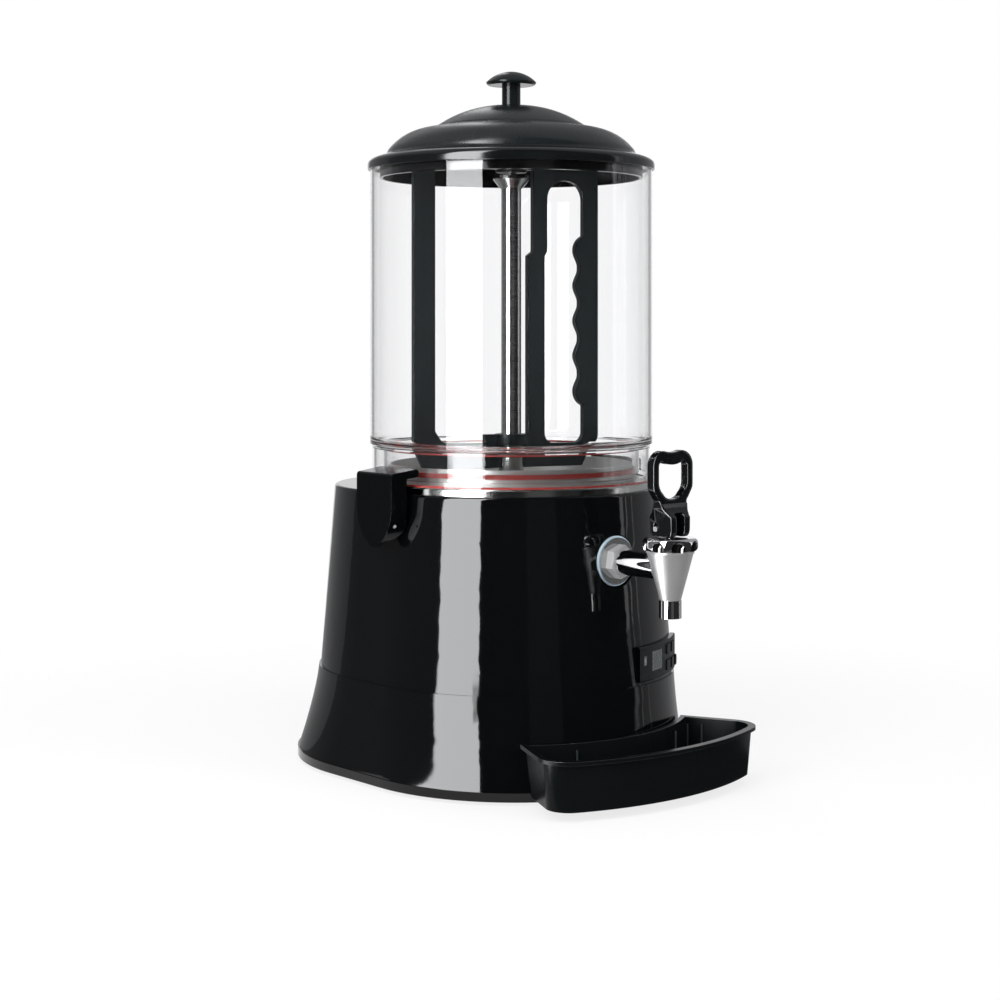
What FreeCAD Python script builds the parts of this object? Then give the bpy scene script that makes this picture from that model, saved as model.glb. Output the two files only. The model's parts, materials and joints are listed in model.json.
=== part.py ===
"""Hot drink dispenser: heated pot under a clear bowl, stirring paddle, latches, tap, panel and drip tray.

Frame: +Z up, front of the machine towards -Y. The bowl's axis is the Z axis and z = 0 is the table.
Millimetres throughout. Every driving size is a cell of the sheet "sizes"; DERIVED holds the sizes
that follow from them. Each sub-part is one object, and its Label names its file.
"""
import FreeCAD, Part
import math
import os
import re

import Sketcher
from FreeCAD import Placement, Rotation, Vector

doc = FreeCAD.newDocument("hot_drink_dispenser")

# ---------------------------------------------------------------- driving sizes

SIZES = {
    # general
    "run_gap": 0.3,
    "pin_gap": 0.05,
    "plastic_wall": 3.0,
    "overlap": 0.6,
    # skirt and housing: round front, straight sides and round rear at each level
    "foot_height": 8.0,
    "lip_bottom": 3.0,
    "lip_height": 7.0,
    "skirt_rise": 72.0,
    "housing_height": 152.0,
    "deck_width": 4.0,
    "housing_taper": 10.3,
    "skirt_spread": 6.0,
    "bottom_front_shift": 5.5,
    "bottom_rear_shift": 64.0,
    "lip_inset": 1.2,
    "flare_power": 1.3,
    "seam_front_shift": 1.0,
    "seam_rear_shift": 43.0,
    "seam_step": 1.5,
    "top_rear_shift": 40.6,
    "top_round": 2.5,
    "spigot_height": 4.4,
    "spigot_wall": 2.4,
    "vent_length": 60.0,
    "vent_width": 4.0,
    "vent_pitch": 10.0,
    "vent_count": 6,
    "vent_rise": 58.0,
    # base plate, feet and their screws
    "base_plate_thickness": 2.0,
    "ledge_width": 9.0,
    "ledge_thickness": 3.0,
    "foot_radius": 11.0,
    "foot_taper": 1.5,
    "foot_inset": 49.0,
    "foot_front_reach": 64.5,
    "foot_rear_reach": 56.0,
    "base_screw_radius": 2.0,
    "base_screw_head": 4.0,
    "base_screw_head_height": 2.2,
    "base_screw_length": 7.0,
    # product pot and the water tank round it
    "sheet_thickness": 1.0,
    "pot_radius": 101.0,
    "pot_depth": 72.0,
    "pot_slope": 5.0,
    "pot_corner": 10.0,
    "pot_flange_width": 11.0,
    "pot_neck_height": 23.5,
    "water_gap": 10.0,
    "tank_depth": 120.0,
    "rim_width": 8.2,
    "rim_height": 6.0,
    "rim_round": 1.8,
    "outlet_drop": 58.3,
    "outlet_radius": 8.0,
    "outlet_bore": 6.0,
    "outlet_end": 7.0,
    "heater_radius": 70.0,
    "heater_wire": 4.0,
    "heater_rise": 16.0,
    "heater_tail": 26.0,
    "heater_tail_radius": 3.2,
    "heater_tail_place": 12.0,
    "probe_radius": 3.0,
    "probe_length": 30.0,
    "probe_inset": 19.0,
    # centre tube and its collars
    "tube_radius": 8.4,
    "tube_bore": 6.6,
    "tube_top_drop": 5.6,
    "tube_below_tank": 14.0,
    "collar_height": 11.0,
    "collar_rim": 3.0,
    "collar_radius": 15.3,
    "sleeve_wall": 2.2,
    "sleeve_rise": 1.0,
    "tube_nut_flats": 26.0,
    "tube_nut_height": 6.0,
    "bush_length": 10.0,
    # bowl
    "bowl_height": 229.6,
    "bowl_wall": 3.0,
    "bowl_floor_thickness": 2.7,
    "bowl_corner": 7.0,
    "bowl_shoulder": 2.0,
    "bowl_skirt_wall": 3.0,
    "bowl_skirt_gap": 6.0,
    "flange_width": 6.0,
    "flange_thickness": 4.6,
    "floor_overhang": 1.5,
    "gasket_width": 3.2,
    "collar_wall": 2.8,
    "collar_drop": 20.0,
    "gasket_rise": 5.5,
    "gasket_height": 7.0,
    "lip_seal_thickness": 1.5,
    "flange_seal_inset": 1.8,
    "flange_seal_outset": 1.2,
    "flange_seal_height": 1.4,
    # lid and knob
    "lid_overhang": 2.0,
    "lid_wall": 3.0,
    "lid_rim_height": 4.5,
    "lid_lip": 1.6,
    "lid_shoulder_width": 6.0,
    "lid_shoulder_rise": 8.4,
    "lid_step_radius": 63.5,
    "lid_step_rise": 32.4,
    "lid_step_height": 2.0,
    "lid_crown_rise": 52.9,
    "lid_lower_arc": 117.0,
    "lid_upper_arc": 100.0,
    "lid_skirt_inset": 8.0,
    "lid_skirt_wall": 2.6,
    "lid_skirt_drop": 8.4,
    "knob_radius": 21.0,
    "knob_stem_radius": 7.8,
    "knob_stem_length": 17.0,
    "knob_edge": 2.6,
    "knob_cap_height": 11.5,
    "knob_stud_radius": 4.0,
    "knob_stud_length": 14.0,
    "knob_nut_flats": 14.0,
    "knob_nut_height": 5.0,
    # drive: shaft, gears, gearbox and motor
    "shaft_radius": 4.0,
    "shaft_rise": 16.0,
    "gear_teeth": 48,
    "pinion_teeth": 12,
    "gear_module": 1.5,
    "gear_backlash": 0.5,
    "flank_slope": 0.364,
    "gear_thickness": 8.0,
    "gear_hub_radius": 9.0,
    "pinion_extra": 2.0,
    "motor_shaft_radius": 3.0,
    "gearbox_rise": 52.0,
    "gearbox_height": 22.0,
    "gearbox_wall": 2.5,
    "gearbox_cover_thickness": 2.5,
    "gear_side_gap": 2.0,
    "motor_radius": 28.0,
    "motor_height": 44.0,
    "motor_bearing": 28.0,
    "bracket_thickness": 2.0,
    "bracket_half_width": 56.0,
    "bracket_front": 30.0,
    "bracket_rear": 84.0,
    "bracket_foot": 14.0,
    # paddle
    "paddle_thickness": 6.5,
    "paddle_turn": -16.1,
    "paddle_left_gap": 12.5,
    "paddle_right_gap": 20.5,
    "paddle_left_bar": 18.5,
    "paddle_right_bar": 14.0,
    "paddle_inner_gap": 5.9,
    "paddle_inner_bar": 15.5,
    "paddle_inner_step": 5.0,
    "paddle_step_drop": 72.6,
    "paddle_top_bar": 11.0,
    "paddle_floor_drop": 20.0,
    "paddle_floor_rise": 13.5,
    "paddle_floor_inset": 6.5,
    "paddle_floor_edge": 3.0,
    "paddle_block_reach": 25.0,
    "paddle_gusset": 12.0,
    "paddle_window_drop": 0.5,
    "paddle_shelf_drop": 2.5,
    "paddle_jog_rise": 4.0,
    "paddle_arch_drop": 8.6,
    "paddle_corner": 8.5,
    "paddle_arch_radius": 16.0,
    "paddle_wave_start": 43.0,
    "paddle_wave_pitch": 29.8,
    "paddle_wave_count": 5,
    "paddle_wave_half": 12.5,
    "paddle_wave_depth": 8.3,
    "paddle_hub_wall": 3.1,
    "paddle_hub_drop": 11.0,
    "paddle_hub_rise": 8.0,
    "paddle_head_radius": 13.0,
    "paddle_head_gap": 2.5,
    "paddle_head_cap": 7.0,
    # side latches
    "latch_standoff": 20.8,
    "latch_width": 45.0,
    "latch_below_pin": 18.0,
    "latch_wall": 2.0,
    "latch_cheek": 15.5,
    "latch_heel": 11.6,
    "latch_tongue_height": 33.0,
    "latch_tip_radius": 10.0,
    "latch_hook_gap": 0.5,
    "latch_hook_lift": 2.0,
    "latch_hook_height": 4.9,
    "latch_hook_rise": 2.8,
    "latch_toe_gap": 0.1,
    "latch_bead_radius": 3.0,
    "latch_pin_inset": 5.7,
    "latch_pin_drop": 34.6,
    "latch_pin_radius": 1.3,
    "latch_boss_radius": 3.3,
    "bracket_block_height": 16.0,
    "bracket_block_width": 18.0,
    # tap
    "tap_reach": 61.3,
    "spot_depth": 2.9,
    "boss_depth": 4.6,
    "spot_radius": 21.0,
    "tap_shank_radius": 10.0,
    "shank_gap": 1.5,
    "seal_ring_radius": 19.8,
    "seal_ring_thickness": 1.5,
    "washer_radius": 18.6,
    "washer_thickness": 1.6,
    "hex_nut_flats": 23.4,
    "hex_nut_thickness": 7.0,
    "hex_nut_turn": 20.0,
    "lock_nut_flats": 26.0,
    "lock_nut_thickness": 4.0,
    "cone_top_radius": 17.9,
    "cone_top_rise": 13.3,
    "cone_lip": 0.6,
    "cone_lip_height": 1.6,
    "cone_bottom_radius": 8.2,
    "cone_bottom_drop": 24.5,
    "spout_radius": 8.7,
    "spout_length": 13.7,
    "spout_bore": 6.6,
    "tap_wall": 1.8,
    "chamber_floor_radius": 9.6,
    "seat_drop": 6.7,
    "seat_hole_radius": 5.0,
    "neck_radius": 15.0,
    "neck_height": 5.0,
    "bonnet_radius": 21.4,
    "bonnet_height": 10.5,
    "bonnet_under_width": 3.1,
    "bonnet_under_rise": 3.6,
    "bonnet_edge": 4.2,
    "bonnet_flute_radius": 5.8,
    "bonnet_flute_depth": 4.6,
    "bonnet_flute_drop": 1.6,
    "bonnet_flutes": 8,
    "bonnet_turn": 17.0,
    "stem_radius": 3.2,
    "stem_head_width": 6.4,
    "seat_cup_radius": 8.0,
    "seat_cup_height": 8.0,
    "spring_wire": 0.9,
    "spring_radius": 6.2,
    "spring_turns": 5,
    # tap handle
    "handle_width": 18.0,
    "handle_depth": 24.0,
    "handle_foot_gap": 0.5,
    "handle_block_height": 19.0,
    "handle_slot": 7.2,
    "handle_slot_gap": 2.5,
    "handle_slot_height": 14.0,
    "handle_block_shift": 0.5,
    "handle_foot_round": 4.0,
    "handle_pin_offset": 5.7,
    "handle_pin_rise": 5.8,
    "handle_pin_radius": 2.0,
    "handle_neck_width": 24.0,
    "handle_loop_width": 43.0,
    "handle_loop_height": 47.0,
    "handle_side_bar": 6.0,
    "handle_top_bar": 8.0,
    "handle_loop_depth": 8.0,
    "handle_loop_sill": 6.0,
    "handle_hip_rise": 21.0,
    "handle_crown_round": 12.0,
    "handle_shoulder_arc": 24.0,
    "handle_dip_arc": 35.0,
    "handle_eye_round": 4.0,
    "handle_eye_taper": 5.0,
    "handle_grip_sag": 3.0,
    "handle_eye_dip": 6.0,
    "handle_neck_rise": 5.0,
    "handle_slope_drop": 7.0,
    "handle_slope_rise": 3.0,
    "handle_slope_arc": 16.0,
    # control panel
    "panel_middle": 25.5,
    "panel_spread": 36.6,
    "panel_rise": 2.5,
    "panel_height": 28.0,
    "panel_proud": 0.9,
    "panel_gap": 0.15,
    "panel_edge": 1.0,
    "panel_margin": 2.5,
    "panel_window_rise": 16.6,
    "panel_window_height": 24.6,
    "display_angle": 18.2,
    "display_width": 17.0,
    "display_height": 15.5,
    "display_rise": 15.0,
    "lamp_angle": 10.4,
    "lamp_rise": 16.5,
    "lamp_width": 4.5,
    "lamp_height": 7.5,
    "key_angle_near": 27.5,
    "key_angle_far": 33.3,
    "key_rise_low": 8.0,
    "key_rise_high": 21.0,
    "key_size": 8.0,
    "key_base": 9.4,
    "key_base_thickness": 1.6,
    "pane_sink": 0.3,
    "pane_thickness": 3.0,
    "key_inset": 8.0,
    "key_proud": 1.1,
    "power_key_angle": 39.6,
    "power_key_rise": 7.5,
    "power_key_radius": 4.6,
    "power_key_flange": 0.6,
    "board_thickness": 1.6,
    "lug_width": 5.0,
    "lug_height": 9.0,
    "lug_rise": 5.5,
    "lug_inset": 4.0,
    "lug_sink": 5.0,
    "board_width": 72.0,
    "board_height": 36.0,
    "board_depth": 21.9,
    "chip_height": 5.0,
    # drip tray
    "tray_bottom": 7.8,
    "tray_height": 38.9,
    "tray_gap": 1.0,
    "tray_rear_half_width": 88.0,
    "tray_side_lean": 25.3,
    "tray_front_reach": 205.0,
    "tray_front_arc": 244.0,
    "tray_corner_arc": 24.0,
    "tray_lip": 3.5,
    "tray_lip_thickness": 3.0,
    "tray_draft": 3.0,
    "tray_rear_lean": 5.0,
    "tray_wall": 2.4,
    "tray_tab_place": 45.0,
    "tray_tab_width": 12.0,
    "tray_tab_rise": 16.2,
    "tray_tab_height": 4.0,
    "tray_tab_inset": 11.5,
    "tray_tab_depth": 12.5,
    # cable inlet at the rear
    "gland_radius": 8.0,
    "gland_bore": 4.2,
    "gland_rise": 22.0,
    "gland_sink": 1.4,
    "gland_flange": 11.0,
    "gland_flange_thickness": 3.0,
    "gland_tail": 12.0,
    "gland_nose": 9.0,
    "terminal_block_length": 36.0,
    "terminal_block_size": 16.0,
    "terminal_inset": 55.0,
}

DERIVED = {
    # levels, from the table upwards
    "plate_top": "foot_height + base_plate_thickness",
    "lip_top": "lip_bottom + lip_height",
    "seam_level": "lip_top + skirt_rise",
    "housing_top": "seam_level + housing_height",
    "tank_top": "housing_top + rim_height",
    "tank_bottom": "tank_top - tank_depth",
    "pot_bottom": "tank_top - pot_depth",
    "pot_flange_top": "tank_top + sheet_thickness",
    "pot_neck_top": "pot_flange_top + pot_neck_height",
    "flange_bottom": "tank_top",
    "flange_top": "flange_bottom + flange_thickness",
    "floor_bottom": "pot_neck_top + lip_seal_thickness + run_gap",
    "bowl_floor": "floor_bottom + bowl_floor_thickness",
    "bowl_top": "bowl_floor + bowl_height",
    "gasket_bottom": "pot_flange_top + gasket_rise",
    "lid_shoulder_level": "bowl_top + lid_shoulder_rise",
    "lid_step_level": "bowl_top + lid_step_rise",
    "lid_crown_level": "bowl_top + lid_crown_rise",
    "lid_skirt_bottom": "bowl_top - lid_skirt_drop",
    "overall_height": "lid_crown_level + knob_stem_length + knob_cap_height",
    "heater_level": "tank_bottom + heater_rise",
    "tube_top": "bowl_top - tube_top_drop",
    "collar_bottom": "tube_top - collar_height",
    "collar_flare_top": "tube_top - collar_rim",
    "sleeve_top": "bowl_floor + sleeve_rise",
    "shaft_top": "tube_top + shaft_rise",
    "vent_level": "seam_level + vent_rise",
    "gland_level": "seam_level + gland_rise",
    # radii, from the pot outwards
    "tank_radius": "pot_radius + water_gap",
    "rim_radius": "tank_radius + rim_width",
    "pot_flange_radius": "pot_radius + pot_flange_width",
    "floor_inner_radius": "pot_radius - floor_overhang",
    "collar_inner_radius": "pot_radius + gasket_width",
    "bowl_skirt_radius": "collar_inner_radius + collar_wall + bowl_skirt_gap + bowl_skirt_wall",
    "bowl_radius": "bowl_skirt_radius + bowl_shoulder",
    "flange_radius": "bowl_skirt_radius + flange_width",
    "lid_radius": "bowl_radius + lid_overhang",
    "lid_shoulder_radius": "lid_radius - lid_shoulder_width",
    "lid_skirt_radius": "bowl_radius - lid_skirt_inset",
    "top_radius": "rim_radius + deck_width",
    "housing_seam_radius": "top_radius + housing_taper",
    "seam_radius": "housing_seam_radius + seam_step",
    "bottom_radius": "seam_radius + skirt_spread",
    "skirt_top_inner": "housing_seam_radius - plastic_wall",
    "housing_slope": "housing_taper / housing_height",
    "sleeve_radius": "tube_radius + sleeve_wall",
    "probe_place": "tank_radius - probe_inset",
    "heater_tail_y": "sqrt(heater_radius ^ 2 - heater_tail_place ^ 2)",
    "foot_spread": "bottom_radius - foot_inset",
    "foot_front": "bottom_front_shift + foot_front_reach",
    "foot_rear": "bottom_rear_shift + foot_rear_reach",
    "terminal_place": "bottom_rear_shift + bottom_radius - terminal_inset",
    # drive
    "gear_radius": "gear_module * gear_teeth / 2",
    "pinion_radius": "gear_module * pinion_teeth / 2",
    "gear_centres": "gear_radius + pinion_radius",
    "gear_tip": "gear_radius + gear_module",
    "gearbox_shift": "gear_centres + pinion_radius - gear_radius",
    "gearbox_radius": "gear_tip + gear_side_gap + gearbox_wall",
    "gearbox_bottom": "plate_top + gearbox_rise",
    "gearbox_top": "gearbox_bottom + gearbox_height",
    "gear_level": "gearbox_bottom + gearbox_height / 2 - gear_thickness / 2",
    "pinion_thickness": "gear_thickness + pinion_extra",
    "motor_bottom": "gearbox_bottom - bracket_thickness - motor_height",
    # paddle
    "paddle_left_reach": "pot_radius - paddle_left_gap",
    "paddle_right_reach": "pot_radius - paddle_right_gap",
    "paddle_floor_left": "paddle_left_reach - paddle_floor_edge",
    "paddle_window_edge": "paddle_right_reach - paddle_right_bar",
    "paddle_inner_bar_near": "tube_radius + paddle_inner_gap",
    "paddle_inner_bar_far": "paddle_inner_bar_near + paddle_inner_bar",
    "paddle_step_level": "bowl_top - paddle_step_drop",
    "paddle_top": "shaft_top",
    "paddle_floor": "bowl_floor - paddle_floor_drop",
    "paddle_window_bottom": "bowl_floor - paddle_window_drop",
    "paddle_window_top": "bowl_top - paddle_arch_drop",
    "paddle_wave_first": "bowl_floor + paddle_wave_start",
    "paddle_hub_radius": "sleeve_radius + run_gap + paddle_hub_wall",
    "paddle_hub_bottom": "bowl_floor - paddle_hub_drop",
    "paddle_hub_top": "bowl_floor + paddle_hub_rise",
    "paddle_head_bottom": "tube_top + paddle_head_gap",
    "paddle_head_top": "shaft_top + paddle_head_cap",
    "wave_radius": "(paddle_wave_half ^ 2 + paddle_wave_depth ^ 2) / (2 * paddle_wave_depth)",
    # latches
    "latch_face": "top_radius + latch_standoff",
    "latch_plate_inner": "latch_face - latch_wall",
    "latch_pin_place": "latch_face - latch_pin_inset",
    "latch_pin_level": "flange_top - latch_pin_drop",
    "latch_bottom": "latch_pin_level - latch_below_pin",
    "latch_side_arc": "((latch_width / 2) ^ 2 + (latch_tongue_height - latch_tip_radius) ^ 2"
                      " - latch_tip_radius ^ 2) / (latch_width - 2 * latch_tip_radius)",
    "latch_lean_across": "(latch_side_arc - latch_width / 2) / (latch_side_arc - latch_tip_radius)",
    "latch_lean_down": "(latch_tongue_height - latch_tip_radius) / (latch_side_arc - latch_tip_radius)",
    "latch_pin_reach": "latch_width / 2 - latch_side_arc"
                       " + sqrt(latch_side_arc ^ 2 - (latch_tongue_height - latch_below_pin) ^ 2) + 0.5",
    "latch_hook_reach": "bowl_skirt_radius + latch_hook_gap",
    "latch_hook_bottom": "flange_top + latch_hook_lift",
    "latch_top": "latch_hook_bottom + latch_hook_height",
    "latch_hook_top": "latch_top + latch_hook_rise",
    # tap
    "tap_level": "tank_top - outlet_drop",
    "outlet_reach": "tank_radius + outlet_end",
    "front_at_tap": "housing_seam_radius + seam_front_shift - (tap_level - seam_level)"
                    " * (housing_taper + seam_front_shift) / housing_height",
    "spot_face": "front_at_tap - spot_depth",
    "tap_axis": "spot_face + tap_reach",
    "tap_shank_start": "tank_radius + shank_gap",
    "washer_back": "spot_face + seal_ring_thickness",
    "nut_back": "washer_back + washer_thickness",
    "cone_top_level": "tap_level + cone_top_rise",
    "cone_bottom_level": "tap_level - cone_bottom_drop",
    "spout_bottom": "cone_bottom_level - spout_length",
    "seat_level": "tap_level - seat_drop",
    "neck_top": "cone_top_level + neck_height",
    "bonnet_top": "cone_top_level + bonnet_height",
    "handle_bottom": "bonnet_top + handle_foot_gap",
    "handle_shoulder": "handle_bottom + handle_block_height",
    "handle_slot_top": "handle_bottom + handle_slot_height",
    "handle_pin_level": "handle_bottom + handle_pin_rise",
    "handle_loop_top": "handle_shoulder + handle_loop_height",
    "handle_loop_bottom": "handle_shoulder + handle_loop_sill",
    "handle_hip_level": "handle_shoulder + handle_hip_rise",
    # panel
    "panel_bottom": "seam_level + panel_rise",
    "panel_top": "panel_bottom + panel_height",
    "panel_face": "seam_radius + panel_proud",
    "panel_window_half": "panel_face * sin((panel_spread / 2 - panel_margin) * 1 deg)",
    "panel_window_level": "seam_level + panel_window_rise",
    "panel_centre": "-seam_front_shift * (housing_top - panel_window_level) / housing_height",
    "display_level": "panel_bottom + display_rise",
    "lamp_level": "panel_bottom + lamp_rise",
    "key_level_low": "panel_bottom + key_rise_low",
    "key_level_high": "panel_bottom + key_rise_high",
    "power_key_level": "panel_bottom + power_key_rise",
    "key_seat": "panel_face - key_inset",
    "board_place": "panel_face - board_depth",
    # tray
    "tray_rim": "tray_bottom + tray_height",
    "tray_rear_radius": "bottom_radius + tray_gap",
    "tray_lean_cos": "cos(tray_side_lean * 1 deg)",
    "tray_lean_sin": "sin(tray_side_lean * 1 deg)",
    "tray_front_centre": "tray_front_arc - tray_front_reach",
    "tray_side_place": "tray_rear_half_width * tray_lean_cos"
                       " - sqrt(tray_rear_radius ^ 2 - tray_rear_half_width ^ 2) * tray_lean_sin",
    "tray_corner_in": "tray_side_place - tray_corner_arc",
    "tray_corner_out": "sqrt((tray_front_arc - tray_corner_arc) ^ 2"
                       " - (tray_corner_in - tray_front_centre * tray_lean_sin) ^ 2)"
                       " - tray_front_centre * tray_lean_cos",
    "tray_corner_x": "tray_corner_in * tray_lean_cos + tray_corner_out * tray_lean_sin",
    "tray_corner_y": "tray_corner_in * tray_lean_sin - tray_corner_out * tray_lean_cos",
    "tray_turn_x": "tray_corner_x / (tray_front_arc - tray_corner_arc)",
    "tray_turn_y": "(tray_corner_y - tray_front_centre) / (tray_front_arc - tray_corner_arc)",
    "tray_tab_level": "tray_bottom + tray_tab_rise",
    "tray_tab_start": "bottom_radius - tray_tab_inset",
    # cable inlet
    "rear_at_gland": "housing_seam_radius + seam_rear_shift - (gland_level - seam_level)"
                     " * (housing_taper + seam_rear_shift - top_rear_shift) / housing_height",
    "gland_face": "rear_at_gland - gland_sink",
}


def fill_sheet():
    """The sheet of sizes: driving cells hold plain numbers, derived cells hold formulas."""
    table = doc.addObject("Spreadsheet::Sheet", "sizes")
    row = 0
    for alias, number in SIZES.items():
        row += 1
        table.set(f"A{row}", alias)
        table.set(f"B{row}", str(number))
        table.setAlias(f"B{row}", alias)
    for alias, formula in DERIVED.items():
        row += 1
        table.set(f"A{row}", alias)
        table.set(f"B{row}", f"={formula}")
        table.setAlias(f"B{row}", alias)
    doc.recompute()
    return table


sizes = fill_sheet()
ALIASES = set(SIZES) | set(DERIVED)


def linked(formula):
    """The formula as another object writes it: each alias is read from the sheet."""
    return re.sub(r"[a-z_][a-z_0-9]*", lambda m: f"sizes.{m[0]}" if m[0] in ALIASES else m[0], formula)


def value(formula):
    """The number that a formula of the sheet's aliases gives."""
    result = sizes.evalExpression(formula)
    return float(getattr(result, "Value", result))


# ---------------------------------------------------------------- sketches and features

def new_body(name, x="0", y="0", z="0", turn="0"):
    """An empty body; its place is tied to the sheet."""
    body = doc.addObject("PartDesign::Body", name)
    body.Label = name
    place(body, x, y, z, turn)
    return body


def place(thing, x="0", y="0", z="0", turn="0"):
    """Ties an object's place, and its turn about Z in degrees, to the sheet."""
    thing.Placement = Placement(Vector(value(x), value(y), value(z)), Rotation(Vector(0, 0, 1), value(turn)))
    for axis, formula in zip("xyz", (x, y, z)):
        if formula != "0":
            thing.setExpression(f".Placement.Base.{axis}", linked(formula))
    if turn != "0":
        thing.setExpression(".Placement.Rotation.Angle", linked(f"({turn}) * 1 deg"))


def origin_plane(body, role):
    return next(feature for feature in body.Origin.OriginFeatures if feature.Role == role)


def new_sketch(body, role="XY_Plane", offset="0", swing="0", shift="0"):
    """A sketch on one of the body's own planes, raised by offset, moved sideways by shift
    or swung about the upright axis."""
    sketch = body.newObject("Sketcher::SketchObject", f"{body.Name}_sketch")
    sketch.AttachmentSupport = [(origin_plane(body, role), "")]
    sketch.MapMode = "FlatFace"
    if offset != "0":
        sketch.setExpression(".AttachmentOffset.Base.z", linked(offset))
    if shift != "0":
        sketch.setExpression(".AttachmentOffset.Base.x", linked(shift))
    if swing != "0":
        sketch.AttachmentOffset = Placement(Vector(), Rotation(Vector(0, 1, 0), value(swing)))
        sketch.setExpression(".AttachmentOffset.Rotation.Angle", linked(f"({swing}) * 1 deg"))
    return sketch


def dimension(sketch, kind, formula, *where):
    """A driving constraint whose value follows the formula."""
    index = sketch.addConstraint(Sketcher.Constraint(kind, *where, value(formula)))
    sketch.setExpression(f"Constraints[{index}]", linked(formula))


def pin_point(sketch, geometry, end, x, y):
    """Ties one point of the sketch to x and y from the sheet."""
    dimension(sketch, "DistanceX", x, -1, 1, geometry, end)
    dimension(sketch, "DistanceY", y, -1, 1, geometry, end)


def arc_between(start, end, radius, side):
    """The short arc from start to end; side +1 bulges to the left of the way, -1 to the right."""
    chord = end.sub(start)
    left = Vector(-chord.y, chord.x, 0).normalize()
    half = chord.Length / 2
    centre = (start + end) * 0.5 - left * (side * math.sqrt(max(radius * radius - half * half, 0.0)))
    first, last = (end, start) if side > 0 else (start, end)
    from_angle, to_angle = (math.atan2(p.y - centre.y, p.x - centre.x) for p in (first, last))
    if to_angle < from_angle:
        to_angle += 2 * math.pi
    return Part.ArcOfCircle(Part.Circle(centre, Vector(0, 0, 1), radius), from_angle, to_angle)


def outline(sketch, corners):
    """A closed outline. Each corner is (x, y) for a straight edge to the next corner,
    or (x, y, radius, side) for an arc to it."""
    points = [Vector(value(corner[0]), value(corner[1]), 0) for corner in corners]
    starts, ends = [], []
    for index, corner in enumerate(corners):
        start, end = points[index], points[(index + 1) % len(points)]
        if len(corner) == 2:
            edge = sketch.addGeometry(Part.LineSegment(start, end))
            starts.append((edge, 1))
            ends.append((edge, 2))
        else:
            edge = sketch.addGeometry(arc_between(start, end, value(corner[2]), corner[3]))
            starts.append((edge, 2 if corner[3] > 0 else 1))
            ends.append((edge, 1 if corner[3] > 0 else 2))
    for index, corner in enumerate(corners):
        following = starts[(index + 1) % len(corners)]
        sketch.addConstraint(Sketcher.Constraint("Coincident", *ends[index], *following))
        pin_point(sketch, *starts[index], corner[0], corner[1])
        if len(corner) == 4:
            dimension(sketch, "Radius", corner[2], starts[index][0])


def circle(sketch, radius, x="0", y="0"):
    """A circle tied to the sheet by its centre and radius."""
    index = sketch.addGeometry(Part.Circle(Vector(value(x), value(y), 0), Vector(0, 0, 1), value(radius)))
    pin_point(sketch, index, 3, x, y)
    dimension(sketch, "Radius", radius, index)


def stadium(sketch, radius, first, second):
    """Two round ends of one radius about the points first and second, joined by tangent sides."""
    size, up = value(radius), Vector(0, 0, 1)
    start, end = (Vector(value(x), value(y), 0) for x, y in (first, second))
    along = math.atan2(end.y - start.y, end.x - start.x)
    left = Vector(-math.sin(along), math.cos(along), 0) * size
    quarter = math.pi / 2
    near = sketch.addGeometry(Part.ArcOfCircle(Part.Circle(start, up, size), along + quarter, along + 3 * quarter))
    right = sketch.addGeometry(Part.LineSegment(start - left, end - left))
    far = sketch.addGeometry(Part.ArcOfCircle(Part.Circle(end, up, size), along - quarter, along + quarter))
    back = sketch.addGeometry(Part.LineSegment(end + left, start + left))
    ring = (near, right, far, back)
    for index, edge in enumerate(ring):
        sketch.addConstraint(Sketcher.Constraint("Tangent", edge, 2, ring[(index + 1) % 4], 1))
    pin_point(sketch, near, 3, *first)
    pin_point(sketch, far, 3, *second)
    dimension(sketch, "Radius", radius, near)


def obround(sketch, radius, front_shift, rear_shift):
    """A round front and a round rear with straight sides along Y."""
    stadium(sketch, radius, ("0", f"-({front_shift})"), ("0", rear_shift))


def rectangle(sketch, width, height, x="0", y="0"):
    """A rectangle about (x, y)."""
    across, along = f"({width}) / 2", f"({height}) / 2"
    left, right, low, high = f"{x} - {across}", f"{x} + {across}", f"{y} - {along}", f"{y} + {along}"
    outline(sketch, [(left, low), (right, low), (right, high), (left, high)])


def hexagon(sketch, flats, turn=None):
    """A regular hexagon about the origin, tied to its width across flats and its turn in degrees."""
    half, corner = f"({flats}) / 2", f"({flats}) / sqrt(3)"
    if turn:
        outline(sketch, [
            (f"{corner} * cos(({60 * index} + {turn}) * 1 deg)", f"{corner} * sin(({60 * index} + {turn}) * 1 deg)")
            for index in range(6)])
        return
    outline(sketch, [
        (corner, "0"), (f"({corner}) / 2", half), (f"-({corner}) / 2", half),
        (f"-({corner})", "0"), (f"-({corner}) / 2", f"-({half})"), (f"({corner}) / 2", f"-({half})")])


def pad(body, sketch, length, reverse=False, both=False):
    feature = body.newObject("PartDesign::Pad", f"{body.Name}_pad")
    feature.Profile = sketch
    feature.Midplane = both
    feature.Reversed = reverse
    feature.setExpression(".Length", linked(length))
    return feature


def pocket(body, sketch, length, reverse=False, both=False):
    feature = body.newObject("PartDesign::Pocket", f"{body.Name}_pocket")
    feature.Profile = sketch
    feature.Midplane = both
    feature.Reversed = reverse
    feature.setExpression(".Length", linked(length))
    return feature


def turn_about(body, sketch, axis="V_Axis", kind="Revolution"):
    feature = body.newObject(f"PartDesign::{kind}", f"{body.Name}_turned")
    feature.Profile = sketch
    feature.ReferenceAxis = (sketch, [axis])
    feature.Angle = 360
    return feature


def loft(body, sketches, kind="AdditiveLoft"):
    feature = body.newObject(f"PartDesign::{kind}", f"{body.Name}_loft")
    feature.Profile = sketches[0]
    feature.Sections = sketches[1:]
    return feature


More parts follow.
